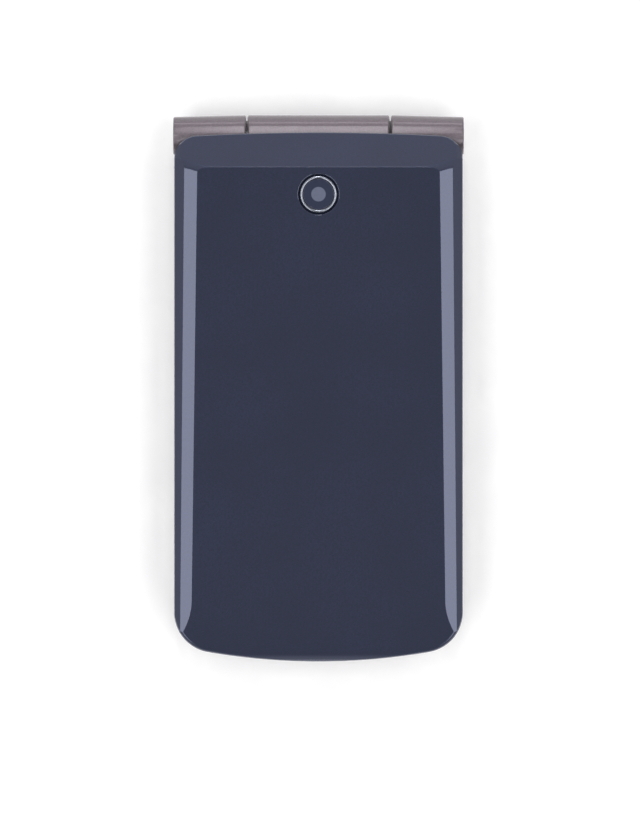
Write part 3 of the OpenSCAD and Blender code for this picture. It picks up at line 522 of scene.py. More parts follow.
def metallic_paint(name, dark, light):
    """ABS sprayed with aluminium paint: a satin shine with fine bright flakes."""
    made, tree, shader, place = begin(name, {
        "Metallic": 0.6, "Coat Weight": 0.4, "Coat Roughness": 0.06})
    # The flakes are about 0.03 mm, drawn at 0.15 mm so that they show
    flake = cells(tree, place, 0.15)
    slow = noise(tree, place, 6)
    feed(tree, shader, tones(tree, dark, light, (flake, "Color")),
         span(tree, (slow, "Fac"), 0.32, 0.42), relief(tree, 0.08, 0.006, (flake, "Distance")))
    return made


def inside_box(tree, place, centre, half, soft):
    """A node that is 1 inside an upright rectangle seen along Z, and 0 outside it."""
    moved = add(
        tree, "ShaderNodeMapping", {"Location": [-c for c in centre]}, {"Vector": (place, "Object")})
    parts = add(tree, "ShaderNodeSeparateXYZ", links={"Vector": (moved, "Vector")})
    edges = []
    for axis, reach in zip("XY", half):
        far = maths(tree, "ABSOLUTE", (parts, axis))
        edges.append(span(tree, (far, 0), 1.0, 0.0, reach - soft, reach + soft))
    return maths(tree, "MULTIPLY", (edges[0], "Result"), (edges[1], "Result"))


def screen_glass():
    """Acrylic window with a black printed border round a sleeping liquid crystal display."""
    made, tree, shader, place = begin("printed_acrylic_window", {
        "IOR": 1.49, "Coat Weight": 1.0, "Coat Roughness": 0.02})
    centre = (window_low + window_high) / 2
    size = panel_high - panel_low
    half = (size.x / 2 - BORDER_SIDE, size.y / 2 - BORDER_END)
    picture = inside_box(tree, place, centre, half, BORDER_BLUR)
    # Rows of picture points are 0.15 mm apart, drawn at 0.3 mm so that they show
    rows = cells(tree, place, 0.3)
    asleep = tones(tree, "#171b22", "#1f242d", (rows, "Color"))
    mixed = add(
        tree, "ShaderNodeMixRGB", {"Color1": colour("#060709")},
        {"Fac": (picture, 0), "Color2": (asleep, "Color")})
    feed(tree, shader, mixed, span(tree, (picture, 0), 0.12, 0.22))
    return made


def camera_glass():
    """Tinted glass over a lens: navy all over, with the pale eye of the lens in its middle."""
    made, tree, shader, place = begin("tinted_camera_glass", {
        "IOR": 1.5, "Coat Weight": 1.0, "Coat Roughness": 0.02})
    moved = add(
        tree, "ShaderNodeMapping",
        {"Location": -over(camera_at, pane_high.z)}, {"Vector": (place, "Object")})
    reach = add(tree, "ShaderNodeVectorMath", links={0: (moved, "Vector")}, operation="LENGTH")
    eye = span(tree, (reach, "Value"), 1.0, 0.0, *EYE_FADE)
    dust = noise(tree, place, 0.5)
    tint = tones(tree, "#252a3f", "#2a3045", (dust, "Fac"))
    lens = tones(tree, "#595e71", "#62677d", (dust, "Fac"))
    mixed = add(
        tree, "ShaderNodeMixRGB",
        links={"Fac": (eye, "Result"), "Color1": (tint, "Color"), "Color2": (lens, "Color")})
    feed(tree, shader, mixed, span(tree, (dust, "Fac"), 0.05, 0.1))
    return made


def woven_mesh():
    """Woven polyester mesh behind a sound slot: black threads with tiny gaps."""
    made, tree, shader, place = begin("woven_polyester_mesh", {"Sheen Weight": 0.2})
    # Threads are 0.1 mm apart, drawn at 0.25 mm so that they show
    pitch = per(0.25) * 2 * math.pi
    parts = add(tree, "ShaderNodeSeparateXYZ", links={"Vector": (place, "Object")})
    threads = []
    for axis in "XY":
        phase = add(tree, "ShaderNodeMath", {1: pitch}, {0: (parts, axis)}, operation="MULTIPLY")
        threads.append((maths(tree, "SINE", (phase, 0)), 0))
    weave = (maths(tree, "MAXIMUM", *threads), 0)
    feed(tree, shader, tones(tree, "#050506", "#2a2b30", weave),
         span(tree, weave, 0.8, 0.5), relief(tree, 0.8, 0.05, weave))
    return made


def studio_floor():
    """A matt white table of opal acrylic, lit softly from below, with the faintest tooth."""
    return textured(
        "opal_acrylic_table", "#f4f4f5", "#fbfbfb", 1.5, (0.75, 0.9), 0.01,
        {"Specular IOR Level": 0.1, "Emission Color": colour("#ffffff"), "Emission Strength": 0.1})


finishes = {
    "navy_lacquer": navy_lacquer(),
    "metallic_paint": metallic_paint("rose_grey_metallic_paint", "#5d555b", "#70676e"),
    "silver_frame_paint": metallic_paint("silver_grey_metallic_paint", "#867d85", "#a89ea6"),
    # Sprayed ABS back: an even satin with a fine moulded grain
    "housing_plastic": textured(
        "satin_sprayed_abs", "#726a71", "#7a7178", 0.4, (0.36, 0.5), 0.012, {"Metallic": 0.35}),
    # Chromed ABS trim: a bright mirror with a slight haze
    "chrome_trim": textured(
        "bright_chrome_plate", "#8d919c", "#a1a5b1", 2.5, (0.16, 0.22), 0.0005, {"Metallic": 1.0}),
    "camera_glass": camera_glass(),
    "window_glass": screen_glass(),
    # Glass of the sleeping display: dark, even and smooth
    "display_glass": textured(
        "display_glass", "#15181d", "#20242b", 0.6, (0.12, 0.2), 0.001, {"IOR": 1.52}),
    # Black ABS: a low sheen with a moulded grain
    "black_plastic": textured(
        "moulded_black_abs", "#0b0b0e", "#19191e", 0.3, (0.4, 0.6), 0.02, {}),
    # Glass-filled epoxy under green lacquer: a glossy green with a faint weave
    "board_laminate": textured(
        "green_board_laminate", "#173a25", "#2f6a45", 0.6, (0.25, 0.4), 0.02, {"Coat Weight": 0.4}),
    "mesh_cloth": woven_mesh(),
    # Soft silicone rubber: dull and dark
    "soft_rubber": textured(
        "soft_silicone_rubber", "#2f2c31", "#454047", 0.25, (0.65, 0.85), 0.02, {}),
    # Cold-rolled steel: a grey shine with a drawn grain
    "steel": textured(
        "drawn_steel", "#8a8d93", "#b9bcc2", 0.35, (0.22, 0.4), 0.006, {"Metallic": 1.0}),
    # Polyimide film: a thin amber gloss
    "flex_film": textured(
        "amber_polyimide_film", "#8a4f17", "#c07a2c", 0.5, (0.2, 0.35), 0.004, {"Coat Weight": 0.5}),
    # Wrapped battery cell: dark grey film with a soft gloss
    "battery_can": textured(
        "wrapped_battery_cell", "#2c2e34", "#45484f", 0.8, (0.3, 0.5), 0.02, {}),
    # Gold flash over nickel: small warm mirrors
    "gold_contacts": textured(
        "gold_flashed_nickel", "#b5852b", "#e3bd63", 0.2, (0.15, 0.3), 0.003, {"Metallic": 1.0}),
    # Natural ABS carrier: cream and matt
    "antenna_plastic": textured(
        "natural_abs", "#c9c6bc", "#e2dfd6", 0.5, (0.45, 0.6), 0.015, {}),
    # Hard-coated polycarbonate keys: dark navy with a smooth half gloss
    "key_plastic": textured(
        "hard_coated_polycarbonate", "#171924", "#222534", 0.35, (0.34, 0.46), 0.006,
        {"Coat Weight": 0.2}),
}

# Black silicone cord in the groove round the camera: it swallows nearly all the light
gasket_rubber = textured(
    "black_silicone_gasket", "#12162a", "#181d33", 0.25, (0.7, 0.9), 0.01, {"Specular IOR Level": 0.1})

# Pad-printed ink: opaque, level and half matt
white_ink = textured("white_pad_print", "#d9dbe0", "#f2f3f5", 0.2, (0.4, 0.55), 0.003, {})
green_ink = textured("green_pad_print", "#1f9a4a", "#35bd62", 0.2, (0.4, 0.55), 0.003, {})
red_ink = textured("red_pad_print", "#c22a2a", "#e04a43", 0.2, (0.4, 0.55), 0.003, {})


# Planes of the lid's form, each as a point and a normal

def plan(u, v):
    """A vector seen from above."""
    return Vector((u, v, 0))


def lengthwise(u, v):
    """A vector in the section along the phone."""
    return Vector((0, u, v))


def crosswise(u, v):
    """A vector in the section across the phone."""
    return Vector((u, 0, v))


def tangents(lay, centre, r, start, stop, steps):
    """Planes that touch an arc; the angles are in degrees."""
    planes = []
    for k in range(steps + 1):
        a = math.radians(start + (stop - start) * k / max(steps, 1))
        normal = lay(math.cos(a), math.sin(a))
        planes.append((lay(*centre) + r * normal, normal))
    return planes


def rounding(first, second, r, steps):
    """Planes that round off the edge between two planes."""
    (p, n), (q, m) = first, second
    across = n.cross(m)
    centre = Matrix((n, m, across)).inverted() @ Vector((n.dot(p) - r, m.dot(q) - r, across.dot(p)))
    between = [n.slerp(m, k / steps) for k in range(1, steps)]
    return [(centre + r * normal, normal) for normal in between]


def height_over(plane, place):
    """Height of a plane above a place in the plan."""
    point, normal = plane
    return (normal.dot(point) - normal.x * place.x - normal.y * place.y) / max(normal.z, SAME)


def outline_end(end, turn, r, bow, steps):
    """Upright planes round one end of the lid: its bow and its two corners."""
    x = lid_high.x - r
    bow_y = end + turn * bow
    t = math.degrees(math.asin(x / (bow - r)))
    y = bow_y - turn * (bow - r) * math.cos(math.radians(t))
    middle = 180 + turn * 90
    side = 180 + turn * 180
    planes = tangents(plan, (0, bow_y), bow, middle - t, middle + t, steps)
    planes += tangents(plan, (x, y), r, middle + turn * t, side, steps)
    planes += tangents(plan, (-x, y), r, 180 - middle - turn * t, 180 - side, steps)
    return planes


def lid_planes():
    """All the planes of the lid: outline, face, brow, slanted sides, rolled edges and roundings."""
    half, top = lid_high.x, lid_high.z
    fall = math.radians(FACE_FALL)
    slope = math.radians(SIDE_SLOPE)
    brow = math.atan(BROW_DROP / BROW_LEN)
    crease = lengthwise(lid_high.y - BROW_LEN, top)
    face = (crease, lengthwise(-math.sin(fall), math.cos(fall)))
    brow_plane = (crease, lengthwise(math.sin(brow), math.cos(brow)))
    face_len = crease.y - lid_low.y - ROLL_LEN
    roll_start = crease - face_len * lengthwise(math.cos(fall), math.sin(fall))
    roll_centre = roll_start - ROLL_R * face[1]
    turn = fall + math.asin((ROLL_LEN - TURN_LEN) / ROLL_R)
    turn_centre = roll_centre + (ROLL_R - TURN_R) * lengthwise(-math.sin(turn), math.cos(turn))
    turn = 90 + math.degrees(turn)
    roll = tangents(lengthwise, roll_centre.yz, ROLL_R, 90 + FACE_FALL, turn, ROLL_STEPS)
    roll += tangents(lengthwise, turn_centre.yz, TURN_R, turn, TURN_END, TURN_STEPS)[1:]
    slant = SIDE_W - EDGE_R * (1 - math.sin(slope))
    edge_z = top - slant * math.tan(slope) - EDGE_R * math.cos(slope)
    tops = [face, brow_plane] + roll
    planes = list(tops)
    planes += rounding(face, brow_plane, BROW_CREASE_R, CREASE_STEPS)
    for side in (-1, 1):
        wall = (crosswise(side * half, 0), crosswise(side, 0))
        tilt = Vector((side * math.sin(slope), -math.sin(math.radians(SIDE_FALL)), math.cos(slope)))
        slanted = (Vector((side * (half - SIDE_W), crease.y, top)), tilt.normalized())
        at, normal = tangents(
            crosswise, (side * (half - EDGE_R), edge_z), EDGE_R - EDGE_IN,
            90 - side * EDGE_SLOPE, 0, 0)[0]
        tilt = normal - lengthwise(math.sin(math.radians(EDGE_FALL)), 0)
        facet = (at + plan(0, EDGE_LEVEL_Y), tilt.normalized())
        edges = [facet] + rounding(slanted, facet, EDGE_SOFT, SOFT_STEPS)
        edges += rounding(facet, wall, EDGE_SOFT, WALL_STEPS)
        tops += [slanted] + edges
        planes += [slanted] + edges
        planes += rounding(face, slanted, CREASE_R, CREASE_STEPS)
        for step in rounding(brow_plane, slanted, MITRE_R, MITRE_STEPS):
            planes.append(step)
            planes += rounding(face, step, BROW_CREASE_R, MITRE_CREASE_STEPS)
        tilt = math.radians(BROW_SIDE_SLOPE)
        brow_side = (
            Vector((side * (half - BROW_SIDE_W), lid_high.y, top - BROW_DROP)),
            math.cos(tilt) * brow_plane[1] + math.sin(tilt) * wall[1])
        planes += [brow_side] + rounding(brow_plane, brow_side, EDGE_SOFT, SOFT_STEPS)
        planes += rounding(brow_side, wall, EDGE_SOFT, WALL_STEPS)
        for step in roll[1:]:
            planes += rounding(step, slanted, CREASE_R, CREASE_STEPS)
    for end, turn, r, bow, edge_r in (
            (lid_low.y, 1, CHIN_R, CHIN_BOW, CHIN_EDGE_R),
            (lid_high.y, -1, BROW_R, BROW_BOW, BROW_EDGE_R)):
        for wall in outline_end(end, turn, r, bow, OUTLINE_STEPS):
            planes.append(wall)
            lowest = min(tops, key=lambda plane: height_over(plane, wall[0]))
            if wall[1].dot(lowest[1]) < BLUNT:
                planes += rounding(lowest, wall, edge_r, WALL_STEPS)
    return planes


# Pieces of the lid and the hinge

def shave(piece, planes, inset=0):
    """Cuts a piece back to planes, one after the other, and closes each cut."""
    edit(piece, "FACE", lambda face: True)
    for at, normal in planes:
        limit = normal.dot(at) - inset + 2 * SAME
        if all(v.co.dot(normal) < limit for v in bmesh.from_edit_mesh(piece.data).verts):
            continue
        bpy.ops.mesh.select_all(action="SELECT")
        bpy.ops.mesh.bisect(
            plane_co=at - inset * normal, plane_no=normal,
            use_fill=True, clear_outer=True, threshold=SAME)
    clean(piece, SHAVE_MERGE)


def lid_cover():
    """The lid's glossy outer shell, shaved from a block, with room for the hinge and the camera."""
    low = Vector((lid_low.x, lid_low.y, frame_high.z + LID_SEAM))
    lid_middle = (lid_low + lid_high) / 2
    planes = lid_planes()
    cover = block("lid_cover", low, lid_high)
    shave(cover, planes)
    hollow = block("hollow", low - LID_WALL * Z_AXIS, lid_high)
    shave(hollow, planes[::HOLLOW_SKIP], LID_WALL)
    ends = on_axis(-2 * lid_high.x), on_axis(2 * lid_high.x)
    cut_out(hollow, rod("hinge_wall", *ends, hinge_r + HINGE_ROOM + LID_WALL))
    cut_out(cover, hollow)
    cut_out(cover, rod("hinge_room", *ends, hinge_r + HINGE_ROOM, 128))
    hole_r = ring_r - RING_FLANGE + CAMERA_GROOVE
    down = THROUGH * Z_AXIS
    cut_out(cover, rod("camera_hole", camera_at - down, camera_at + down, hole_r))

    def on_hole(edge):
        """Whether an edge is on the upper rim of the camera's hole."""
        return not upright(edge) and all(
            is_at((v.co - camera_at).to_2d().length, hole_r) and v.co.z > pane_high.z - HOLE_EDGE_D
            for v in edge.verts)

    def on_seam(edge):
        """Whether an edge is on the outer rim of the seam over the inner frame."""
        if not level(low.z)(edge) or len(edge.link_faces) != 2:
            return False
        wall = min(edge.link_faces, key=lambda face: abs(face.normal.z))
        return abs(wall.normal.z) < UPRIGHT_Z and wall.normal.dot(edge.verts[0].co - lid_middle) > 0

    round_edges(cover, on_hole, HOLE_EDGE_R, 3)
    round_edges(cover, on_seam, SEAM_EDGE_R, 2)
    return smooth(cover, 12)


def softened(node, name, width, segments=2, special=()):
    """A copy of a CAD node with its triangles joined and its edges rounded, the special ones first."""
    alone(nodes[node])
    bpy.ops.object.duplicate(linked=False)
    piece = bpy.context.object
    piece.parent = None
    for key in list(piece.keys()):
        del piece[key]
    named(name)
    bpy.ops.mesh.customdata_custom_splitnormals_clear()
    edit(piece, "FACE", lambda face: True)
    bpy.ops.mesh.remove_doubles(threshold=MERGE)
    bpy.ops.mesh.dissolve_limited(angle_limit=math.radians(LEVEL_ANGLE))
    done()
    for test, r, steps in special:
        round_edges(piece, test, r * MM, steps)
    apply_modifier(
        piece, "BEVEL", width=width * MM, segments=segments, limit_method="ANGLE",
        angle_limit=math.radians(SHARP_ANGLE), use_clamp_overlap=False)
    return smooth(piece, SHARP_ANGLE)


def on_ear(x, r):
    """A test for the edges of a circle round the hinge's axis, at both ears."""
    return lambda edge: all(
        is_at(abs(v.co.x), x) and abs((v.co - hinge_axis).yz.length - r) < EAR_NEAR for v in edge.verts)


def hinge_tube():
    """The middle barrel of the hinge: a tube with rounded ends."""
    tube = rod("hinge_tube", on_axis(barrel_low.x), on_axis(barrel_high.x), hinge_r, 128)
    bore(tube, X_AXIS, hinge_r - BARREL_BORE_R)
    round_edges(tube, hinge_rim(hinge_r), BARREL_RIM_R, 5)
    return smooth(tube, 40)


def washer():
    """A thin black washer that fills the gap between the middle barrel and an ear."""
    clear = (ear_in - barrel_high.x) / 6
    r = hinge_r - WASHER_DROP
    ring = rod("hinge_washer", on_axis(barrel_high.x + clear), on_axis(ear_in - clear), r)
    bore(ring, X_AXIS, r - WASHER_BORE_R)
    round_edges(ring, hinge_rim(r), WASHER_RIM_R, 2)
    return smooth(ring, 40)


def ear_discs():
    """The caps that close the ears: a disc with a rounded rim and a dish, and its mirror twin."""
    low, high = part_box("hinge_caps")
    disc = rod("hinge_ear_cap", on_axis(high.x - CAP_THICK), on_axis(high.x), (high.z - low.z) / 2)
    round_edges(disc, lambda edge: all(is_at(v.co.x, high.x) for v in edge.verts), CAP_EDGE_R, 3)
    sink_dish(disc, X_AXIS, CAP_RIM_W, CAP_DISH_W, CAP_DISH_D)
    smooth(disc, 40)
    alone(disc)
    bpy.ops.object.duplicate(linked=False)
    twin = bpy.context.object
    twin.rotation_euler = (0, 0, math.pi)
    twin.location = (0, 2 * hinge_axis.y, 0)
    return disc, named("hinge_ear_cap_left")


# Pieces of the camera

def camera_trim():
    """The bright ring round the camera: a tube with a rounded rim and a flange under the skin."""
    r = ring_r - RING_FLANGE
    foot, head = over(camera_at, ring_low.z), over(camera_at, ring_high.z)
    trim = rod("camera_trim", foot, head, r)
    cut_out(trim, rod("channel", foot - 2 * (head - foot), head + (head - foot), r - RING_WALL))
    round_edges(trim, level(head.z), RING_EDGE_R, 4)
    edit(trim, "FACE", lambda face: True)
    bpy.ops.mesh.bisect(plane_co=foot + RING_FLANGE_H * Z_AXIS, plane_no=Z_AXIS, threshold=SAME)
    done()
    edit(trim, "FACE", lambda face: face.calc_center_median().z < foot.z + RING_FLANGE_H
         and face.normal.dot(face.calc_center_median() - foot) > ring_r / 2)
    bpy.ops.mesh.extrude_region_shrink_fatten(TRANSFORM_OT_shrink_fatten={"value": RING_FLANGE})
    done()
    return smooth(trim, 40)


def camera_gasket():
    """The black gasket at the bottom of the groove round the bright ring."""
    outer = ring_r - RING_FLANGE + CAMERA_GROOVE - GASKET_GAP
    foot = over(camera_at, ring_low.z + RING_FLANGE_H)
    head = foot + GASKET_H * Z_AXIS
    ring = rod("camera_gasket", foot, head, outer)
    bore(ring, Z_AXIS, CAMERA_GROOVE - 2 * GASKET_GAP)
    round_edges(ring, level(head.z), GASKET_EDGE_R, 2)
    return smooth(ring, 40)


def camera_pane():
    """The camera's glass: a disc with a small chamfer and the lens's round field in its middle."""
    r = (pane_high.x - pane_low.x) / 2
    pane = rod("camera_pane", over(camera_at, pane_low.z), over(camera_at, pane_high.z), r)
    round_edges(pane, level(pane_high.z), PANE_EDGE_R, 2)
    edit(pane, "FACE", lambda face: face.normal.z > FACING)
    bpy.ops.mesh.inset(thickness=r - PANE_EDGE_R - LENS_R, depth=0)
    done()
    return smooth(pane, 8)


# Keys

def rounded_slab(name, low, high, corner, edge, steps=8):
    """A slab with round corners seen from above and a soft upper edge."""
    slab = block(name, low, high)
    round_edges(slab, upright, corner, steps)
    round_edges(slab, level(high.z), edge, 4)
    return slab


def key_cap(name, node):
    """A key: a rounded cap with a soft shoulder, and the flange that holds it under the deck."""
    low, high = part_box(node)
    size = high - low
    wide = Vector((KEY_FLANGE, KEY_FLANGE, 0))
    cap = rounded_slab(name, low + wide + KEY_FLANGE_H * Z_AXIS, high - wide, KEY_CORNER_R, KEY_EDGE_R)
    add_flange(
        cap, size.x / (size.x - 2 * KEY_FLANGE), size.y / (size.y - 2 * KEY_FLANGE), KEY_FLANGE_H)
    sink_dish(cap, Z_AXIS, KEY_RIM_W, DISH_W, DISH_D)
    return smooth(cap, 35)


def key_caps(names):
    """Keys of one size, modelled once and copied; each is given with the place of its sign."""
    first = None
    for node in names:
        low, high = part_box(node)
        middle = (low + high) / 2
        if first is None:
            cap = first = key_cap(node + "_cap", node)
            start = middle
        else:
            cap = copy_of(first, node + "_cap", middle - start)
        wear(cap, node, "key_plastic", node)
        yield node, over(middle, high.z - PRINT_SINK)


def printed(name, body, *lines):
    """Printed signs: text lines, each with its height and place, made one thin mesh."""
    pieces = []
    for words, height, at in lines:
        bpy.ops.object.select_all(action="DESELECT")
        bpy.ops.object.text_add(location=at)
        sign = bpy.context.object
        sign.data.body = words
        sign.data.size = height
        sign.data.extrude = PRINT_H
        sign.data.resolution_u = 4
        bpy.ops.object.convert(target="MESH")
        bpy.ops.object.origin_set(type="ORIGIN_GEOMETRY", center="BOUNDS")
        sign.location = at
        pieces.append(named(name))
    for piece in pieces:
        piece.select_set(True)
    bpy.context.view_layer.objects.active = pieces[0]
    if len(pieces) > 1:
        bpy.ops.object.join()
    pieces[0].name = name
    wear(pieces[0], body, "key_plastic", finish=white_ink)


def number_keys():
    """The twelve number keys with their printed signs."""
    for node, at in key_caps(KEY_SIGNS):
        digit, letters = KEY_SIGNS[node]
        lines = [(digit, STAR_H if digit == "*" else DIGIT_H, at)]
        if letters:
            lines = [
                (digit, DIGIT_H, at + DIGIT_X * X_AXIS),
                (letters, PLUS_H if letters == "+" else LETTER_H, at + LETTERS_AT)]
        printed(node + "_print", node, *lines)


def handset(name, at, turn, finish, body):
    """A printed handset sign: a bar with two end pads, as a thin raised mesh."""
    reach = Vector((HANDSET_LEN / 2, HANDSET_W / 2, PRINT_H))
    sign = block(name, at - reach, at + reach)
    edit(sign, "EDGE", lambda e: abs(e.verts[0].co.x - e.verts[1].co.x) > HANDSET_LEN / 2)
    bpy.ops.mesh.subdivide(number_cuts=5)
    done()
    edit(sign, "FACE", lambda f: f.normal.y < -FACING
         and abs(f.calc_center_median().x - at.x) > HANDSET_LEN / 3)
    bpy.ops.mesh.extrude_region_move(TRANSFORM_OT_translate={"value": (0, -HANDSET_PAD, 0)})
    done()
    round_edges(
        sign, lambda e: upright(e) and abs(e.verts[0].co.x - at.x) > HANDSET_LEN / 2.2, HANDSET_R, 4)
    alone(sign)
    sign.location = -at
    named(name)
    sign.rotation_euler = (0, 0, math.radians(turn))
    sign.location = at
    named(name)
    wear(sign, body, "key_plastic", finish=finish)


def side_keys():
    """The four keys beside the navigation rocker, each with its sign."""
    for node, at in key_caps(("call_key", "end_key", "soft_key_left", "soft_key_right")):
        name = node + "_print"
        if node == "call_key":
            handset(name, at, 135, green_ink, node)
        elif node == "end_key":
            handset(name, at, 0, red_ink, node)
        else:
            bar = block(name, at - BAR_REACH, at + BAR_REACH)
            round_edges(bar, upright, BAR_R, 4)
            wear(bar, node, "key_plastic", finish=white_ink)


def navigation_pad():
    """The navigation rocker: a rounded pad with a hole for its key, two pins and four small arrows."""
    low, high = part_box("nav_rocker")
    ok_low, ok_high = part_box("ok_key")
    hole_r = (ok_high.x - ok_low.x) / 2 - OK_FLANGE + OK_GAP
    middle = (low + high) / 2
    wide = PIN_LEN * X_AXIS
    pad = rounded_slab(
        "nav_pad", over(low, ok_low.z + NAV_LIFT) + wide, high - wide, NAV_CORNER_R, NAV_EDGE_R, 10)
    tall = THROUGH * Z_AXIS
    cut_out(pad, rod("ok_hole", middle - tall, middle + tall, hole_r))
    ceiling = over(middle, ok_low.z + OK_ROOM_H)
    cut_out(pad, rod("flange_room", ceiling - tall, ceiling, hole_r + OK_FLANGE))
    round_edges(pad, lambda e: level(high.z)(e) and all(
        is_at((v.co - middle).to_2d().length, hole_r) for v in e.verts), NAV_HOLE_R, 4)
    tips = [v.co.z for v in nodes["nav_rocker"].data.vertices if is_at(v.co.x, high.x)]
    for side in (-1, 1):
        end = Vector((side * high.x, middle.y, (min(tips) + max(tips)) / 2))
        pin = rod("nav_pin", end - 2 * side * wide, end, PIN_R, 32)
        round_edges(pin, lambda e: all(is_at(v.co.x, end.x) for v in e.verts), PIN_EDGE_R, 2)
        combine(pad, pin, "UNION")
    smooth(pad, 35)
    wear(pad, "nav_rocker", "metallic_paint", "nav_rocker")
    size = (high - low) / 2
    for name, direction, reach in (
            ("up", 90, size.y), ("down", 270, size.y), ("left", 180, size.x), ("right", 0, size.x)):
        a = math.radians(direction)
        at = over(middle, high.z) + (reach - ARROW_IN) * plan(math.cos(a), math.sin(a))
        bpy.ops.object.select_all(action="DESELECT")
        bpy.ops.mesh.primitive_cylinder_add(
            vertices=3, radius=ARROW_R, depth=2 * PRINT_H,
            location=at, rotation=(0, 0, a - math.pi / 2))
        arrow = named("nav_arrow_" + name)
        round_edges(arrow, upright, ARROW_CORNER_R, 3)
        wear(arrow, "nav_rocker", "key_plastic")


def ok_button():
    """The round key in the rocker: a cap with a soft rim and a dished top, on its flange."""
    low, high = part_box("ok_key")
    r = (high.x - low.x) / 2 - OK_FLANGE
    middle = (low + high) / 2
    cap = rod("ok_button", over(middle, low.z + OK_FLANGE_H), over(middle, high.z), r)
    round_edges(cap, level(high.z), OK_EDGE_R, 4)
    sink_dish(cap, Z_AXIS, OK_RIM_W, DISH_W, DISH_D)
    add_flange(cap, (r + OK_FLANGE) / r, (r + OK_FLANGE) / r, OK_FLANGE_H)
    smooth(cap, 35)
    wear(cap, "ok_key", "key_plastic", "ok_key")
    printed("ok_print", "ok_key", ("OK", OK_SIGN_H, over(middle, high.z - PRINT_SINK)))


def volume_signs():
    """A raised plus and minus on the volume rocker."""
    low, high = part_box("volume_rocker")
    long, thick = VOLUME_SIGN.yz
    for name, y in (("plus", high.y - VOLUME_SIGN_IN), ("minus", low.y + VOLUME_SIGN_IN)):
        at = Vector((low.x, y, (low.z + high.z) / 2))
        sign = block("volume_" + name, at - VOLUME_SIGN, at + VOLUME_SIGN)
        if name == "plus":
            edit(sign, "EDGE", lambda e: abs(e.verts[0].co.y - e.verts[1].co.y) > long)
            bpy.ops.mesh.subdivide(number_cuts=2)
            done()
            edit(sign, "VERT", lambda v: abs(v.co.y - y) < long / 2)
            bpy.ops.transform.resize(value=(1, 3 * thick / long, 1))
            done()
            for up in (1, -1):
                edit(sign, "FACE", lambda f: f.normal.z * up > FACING
                     and abs(f.calc_center_median().y - y) < thick)
                bpy.ops.mesh.extrude_region_move(
                    TRANSFORM_OT_translate={"value": (0, 0, up * (long - thick))})
                done()
        wear(sign, "volume_rocker", "key_plastic", finish=white_ink)


# Carried-over CAD nodes take the finish of their slot
for part in frame["record"]["subparts"]:
    carried = nodes[part["node"]]
    carried.data.materials.clear()
    carried.data.materials.append(finishes[part["material_slot"]])

# The lid; the numbers are the widths of rounded edges in millimetres
wear(lid_cover(), "lid", "navy_lacquer", "lid_outer_cover")
wear(softened("lid_inner_frame", "lid_frame", 0.12), "lid", "silver_frame_paint", "lid_inner_frame")
wear(hinge_tube(), "lid", "metallic_paint", "hinge_barrel")
wear(camera_trim(), "lid", "chrome_trim", "camera_ring")
wear(camera_gasket(), "lid", "soft_rubber", finish=gasket_rubber)
wear(camera_pane(), "lid", "camera_glass", "camera_window")
wear(softened("display_window", "screen_window", 0.12), "lid", "window_glass", "display_window")
wear(softened("lid_bumpers", "lid_feet", 0.15), "lid", "soft_rubber", "lid_bumpers")

# The base; the ears' inner and outer rims have roundings of their own
ear_ends = (
    (on_ear(ear_in, hinge_r), 0.3, 5),
    (on_ear(cad_box[1].x, hinge_r - EAR_TAPER), 0.24, 5))
wear(softened("base_front_frame", "base_front", 0.15, special=ear_ends),
     "base", "metallic_paint", "base_front_frame")
wear(softened("base_rear_housing", "base_back", 0.12), "base", "housing_plastic", "base_rear_housing")
right_washer = wear(washer(), "base", "black_plastic")
wear(copy_of(right_washer, "hinge_washer_left", (-barrel_high.x - ear_in, 0, 0)),
     "base", "black_plastic")
right_disc, left_disc = ear_discs()
wear(right_disc, "base", "metallic_paint", "hinge_caps")
wear(left_disc, "base", "metallic_paint")
wear(softened("battery_cover", "battery_door", 0.12),
     "battery_cover", "housing_plastic", "battery_cover")

# The keys
number_keys()
side_keys()
navigation_pad()
ok_button()
wear(softened("volume_rocker", "volume_bar", 0.25, 3), "volume_rocker", "key_plastic", "volume_rocker")
volume_signs()

# Floor
FLOOR_SIZE = 6
bpy.ops.object.select_all(action="DESELECT")
bpy.ops.mesh.primitive_plane_add(size=FLOOR_SIZE)
floor = named("floor")
floor.data.materials.append(studio_floor())

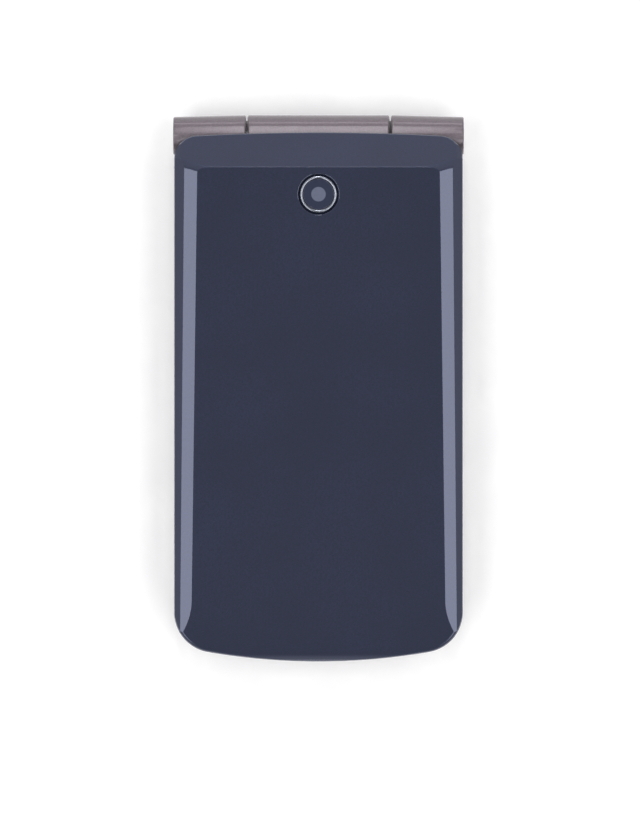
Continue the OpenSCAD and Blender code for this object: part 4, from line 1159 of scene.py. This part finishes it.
# Light: soft panels round the phone, each by its bearing, its height above the floor and its brightness
LIGHTS = (
    # name, bearing and elevation in degrees, distance, shift along the phone, width, height, radiance
    ("left_softbox", 180, 68, 1.0, -0.32, 1.0, 0.42, 3.5),
    ("right_softbox", 0, 68, 1.0, -0.32, 1.0, 0.42, 3.5),
    ("hinge_panel", 90, 54, 1.0, 0.0, 0.15, 0.72, 5.8),
    ("low_panel", 90, 12, 1.0, 0.0, 0.6, 0.17, 3.0),
)
for name, bearing, elevation, distance, shift, width, height, radiance in LIGHTS:
    a, e = math.radians(bearing), math.radians(elevation)
    outward = Vector((math.cos(a) * math.cos(e), math.sin(a) * math.cos(e), math.sin(e)))
    light = bpy.data.lights.new(name, "AREA")
    light.shape = "RECTANGLE"
    light.size, light.size_y = width, height
    light.energy = radiance * math.pi * width * height
    lamp = bpy.data.objects.new(name, light)
    lamp.location = distance * outward + Vector((0, shift, 0))
    lamp.rotation_euler = (-outward).to_track_quat("-Z", "Y").to_euler()
    scene.collection.objects.link(lamp)

# A tent of white cloth all round: bright at the horizon and higher up behind the hinge, dim overhead
TENT_LEAN = -0.48
TENT_BRIGHT, TENT_DIM = 0.64, 0.19
TENT_FALL = 0.66, 0.97
world = bpy.data.worlds.new("light_tent")
world.use_nodes = True
tent = world.node_tree
tent.nodes.clear()
direction = add(tent, "ShaderNodeTexCoord")
parts = add(tent, "ShaderNodeSeparateXYZ", links={"Vector": (direction, "Generated")})
rise = add(
    tent, "ShaderNodeMath", {1: TENT_LEAN}, {0: (parts, "Y"), 2: (parts, "Z")},
    operation="MULTIPLY_ADD")
falling = span(tent, (rise, 0), TENT_BRIGHT, TENT_DIM, *TENT_FALL)
falling.interpolation_type = "SMOOTHSTEP"
cloth = add(
    tent, "ShaderNodeBackground", {"Color": colour("#ffffff")}, {"Strength": (falling, "Result")})
add(tent, "ShaderNodeOutputWorld", links={"Surface": (cloth, "Background")})
scene.world = world
scene.view_settings.view_transform = "Standard"

# Camera, straight above the lid with a long lens
IMAGE_W = 640
PIXELS_PER_MM = 5.613
MIDDLE = (0.27 * MM, -4.22 * MM)
DISTANCE = 1.6
SENSOR = 36.0
view = bpy.data.cameras.new("camera")
view.sensor_fit = "HORIZONTAL"
view.sensor_width = SENSOR
view.lens = SENSOR * DISTANCE / (IMAGE_W / PIXELS_PER_MM * MM)
eye = bpy.data.objects.new("camera", view)
eye.location = (*MIDDLE, lid_high.z + DISTANCE)
scene.collection.objects.link(eye)
scene.camera = eye
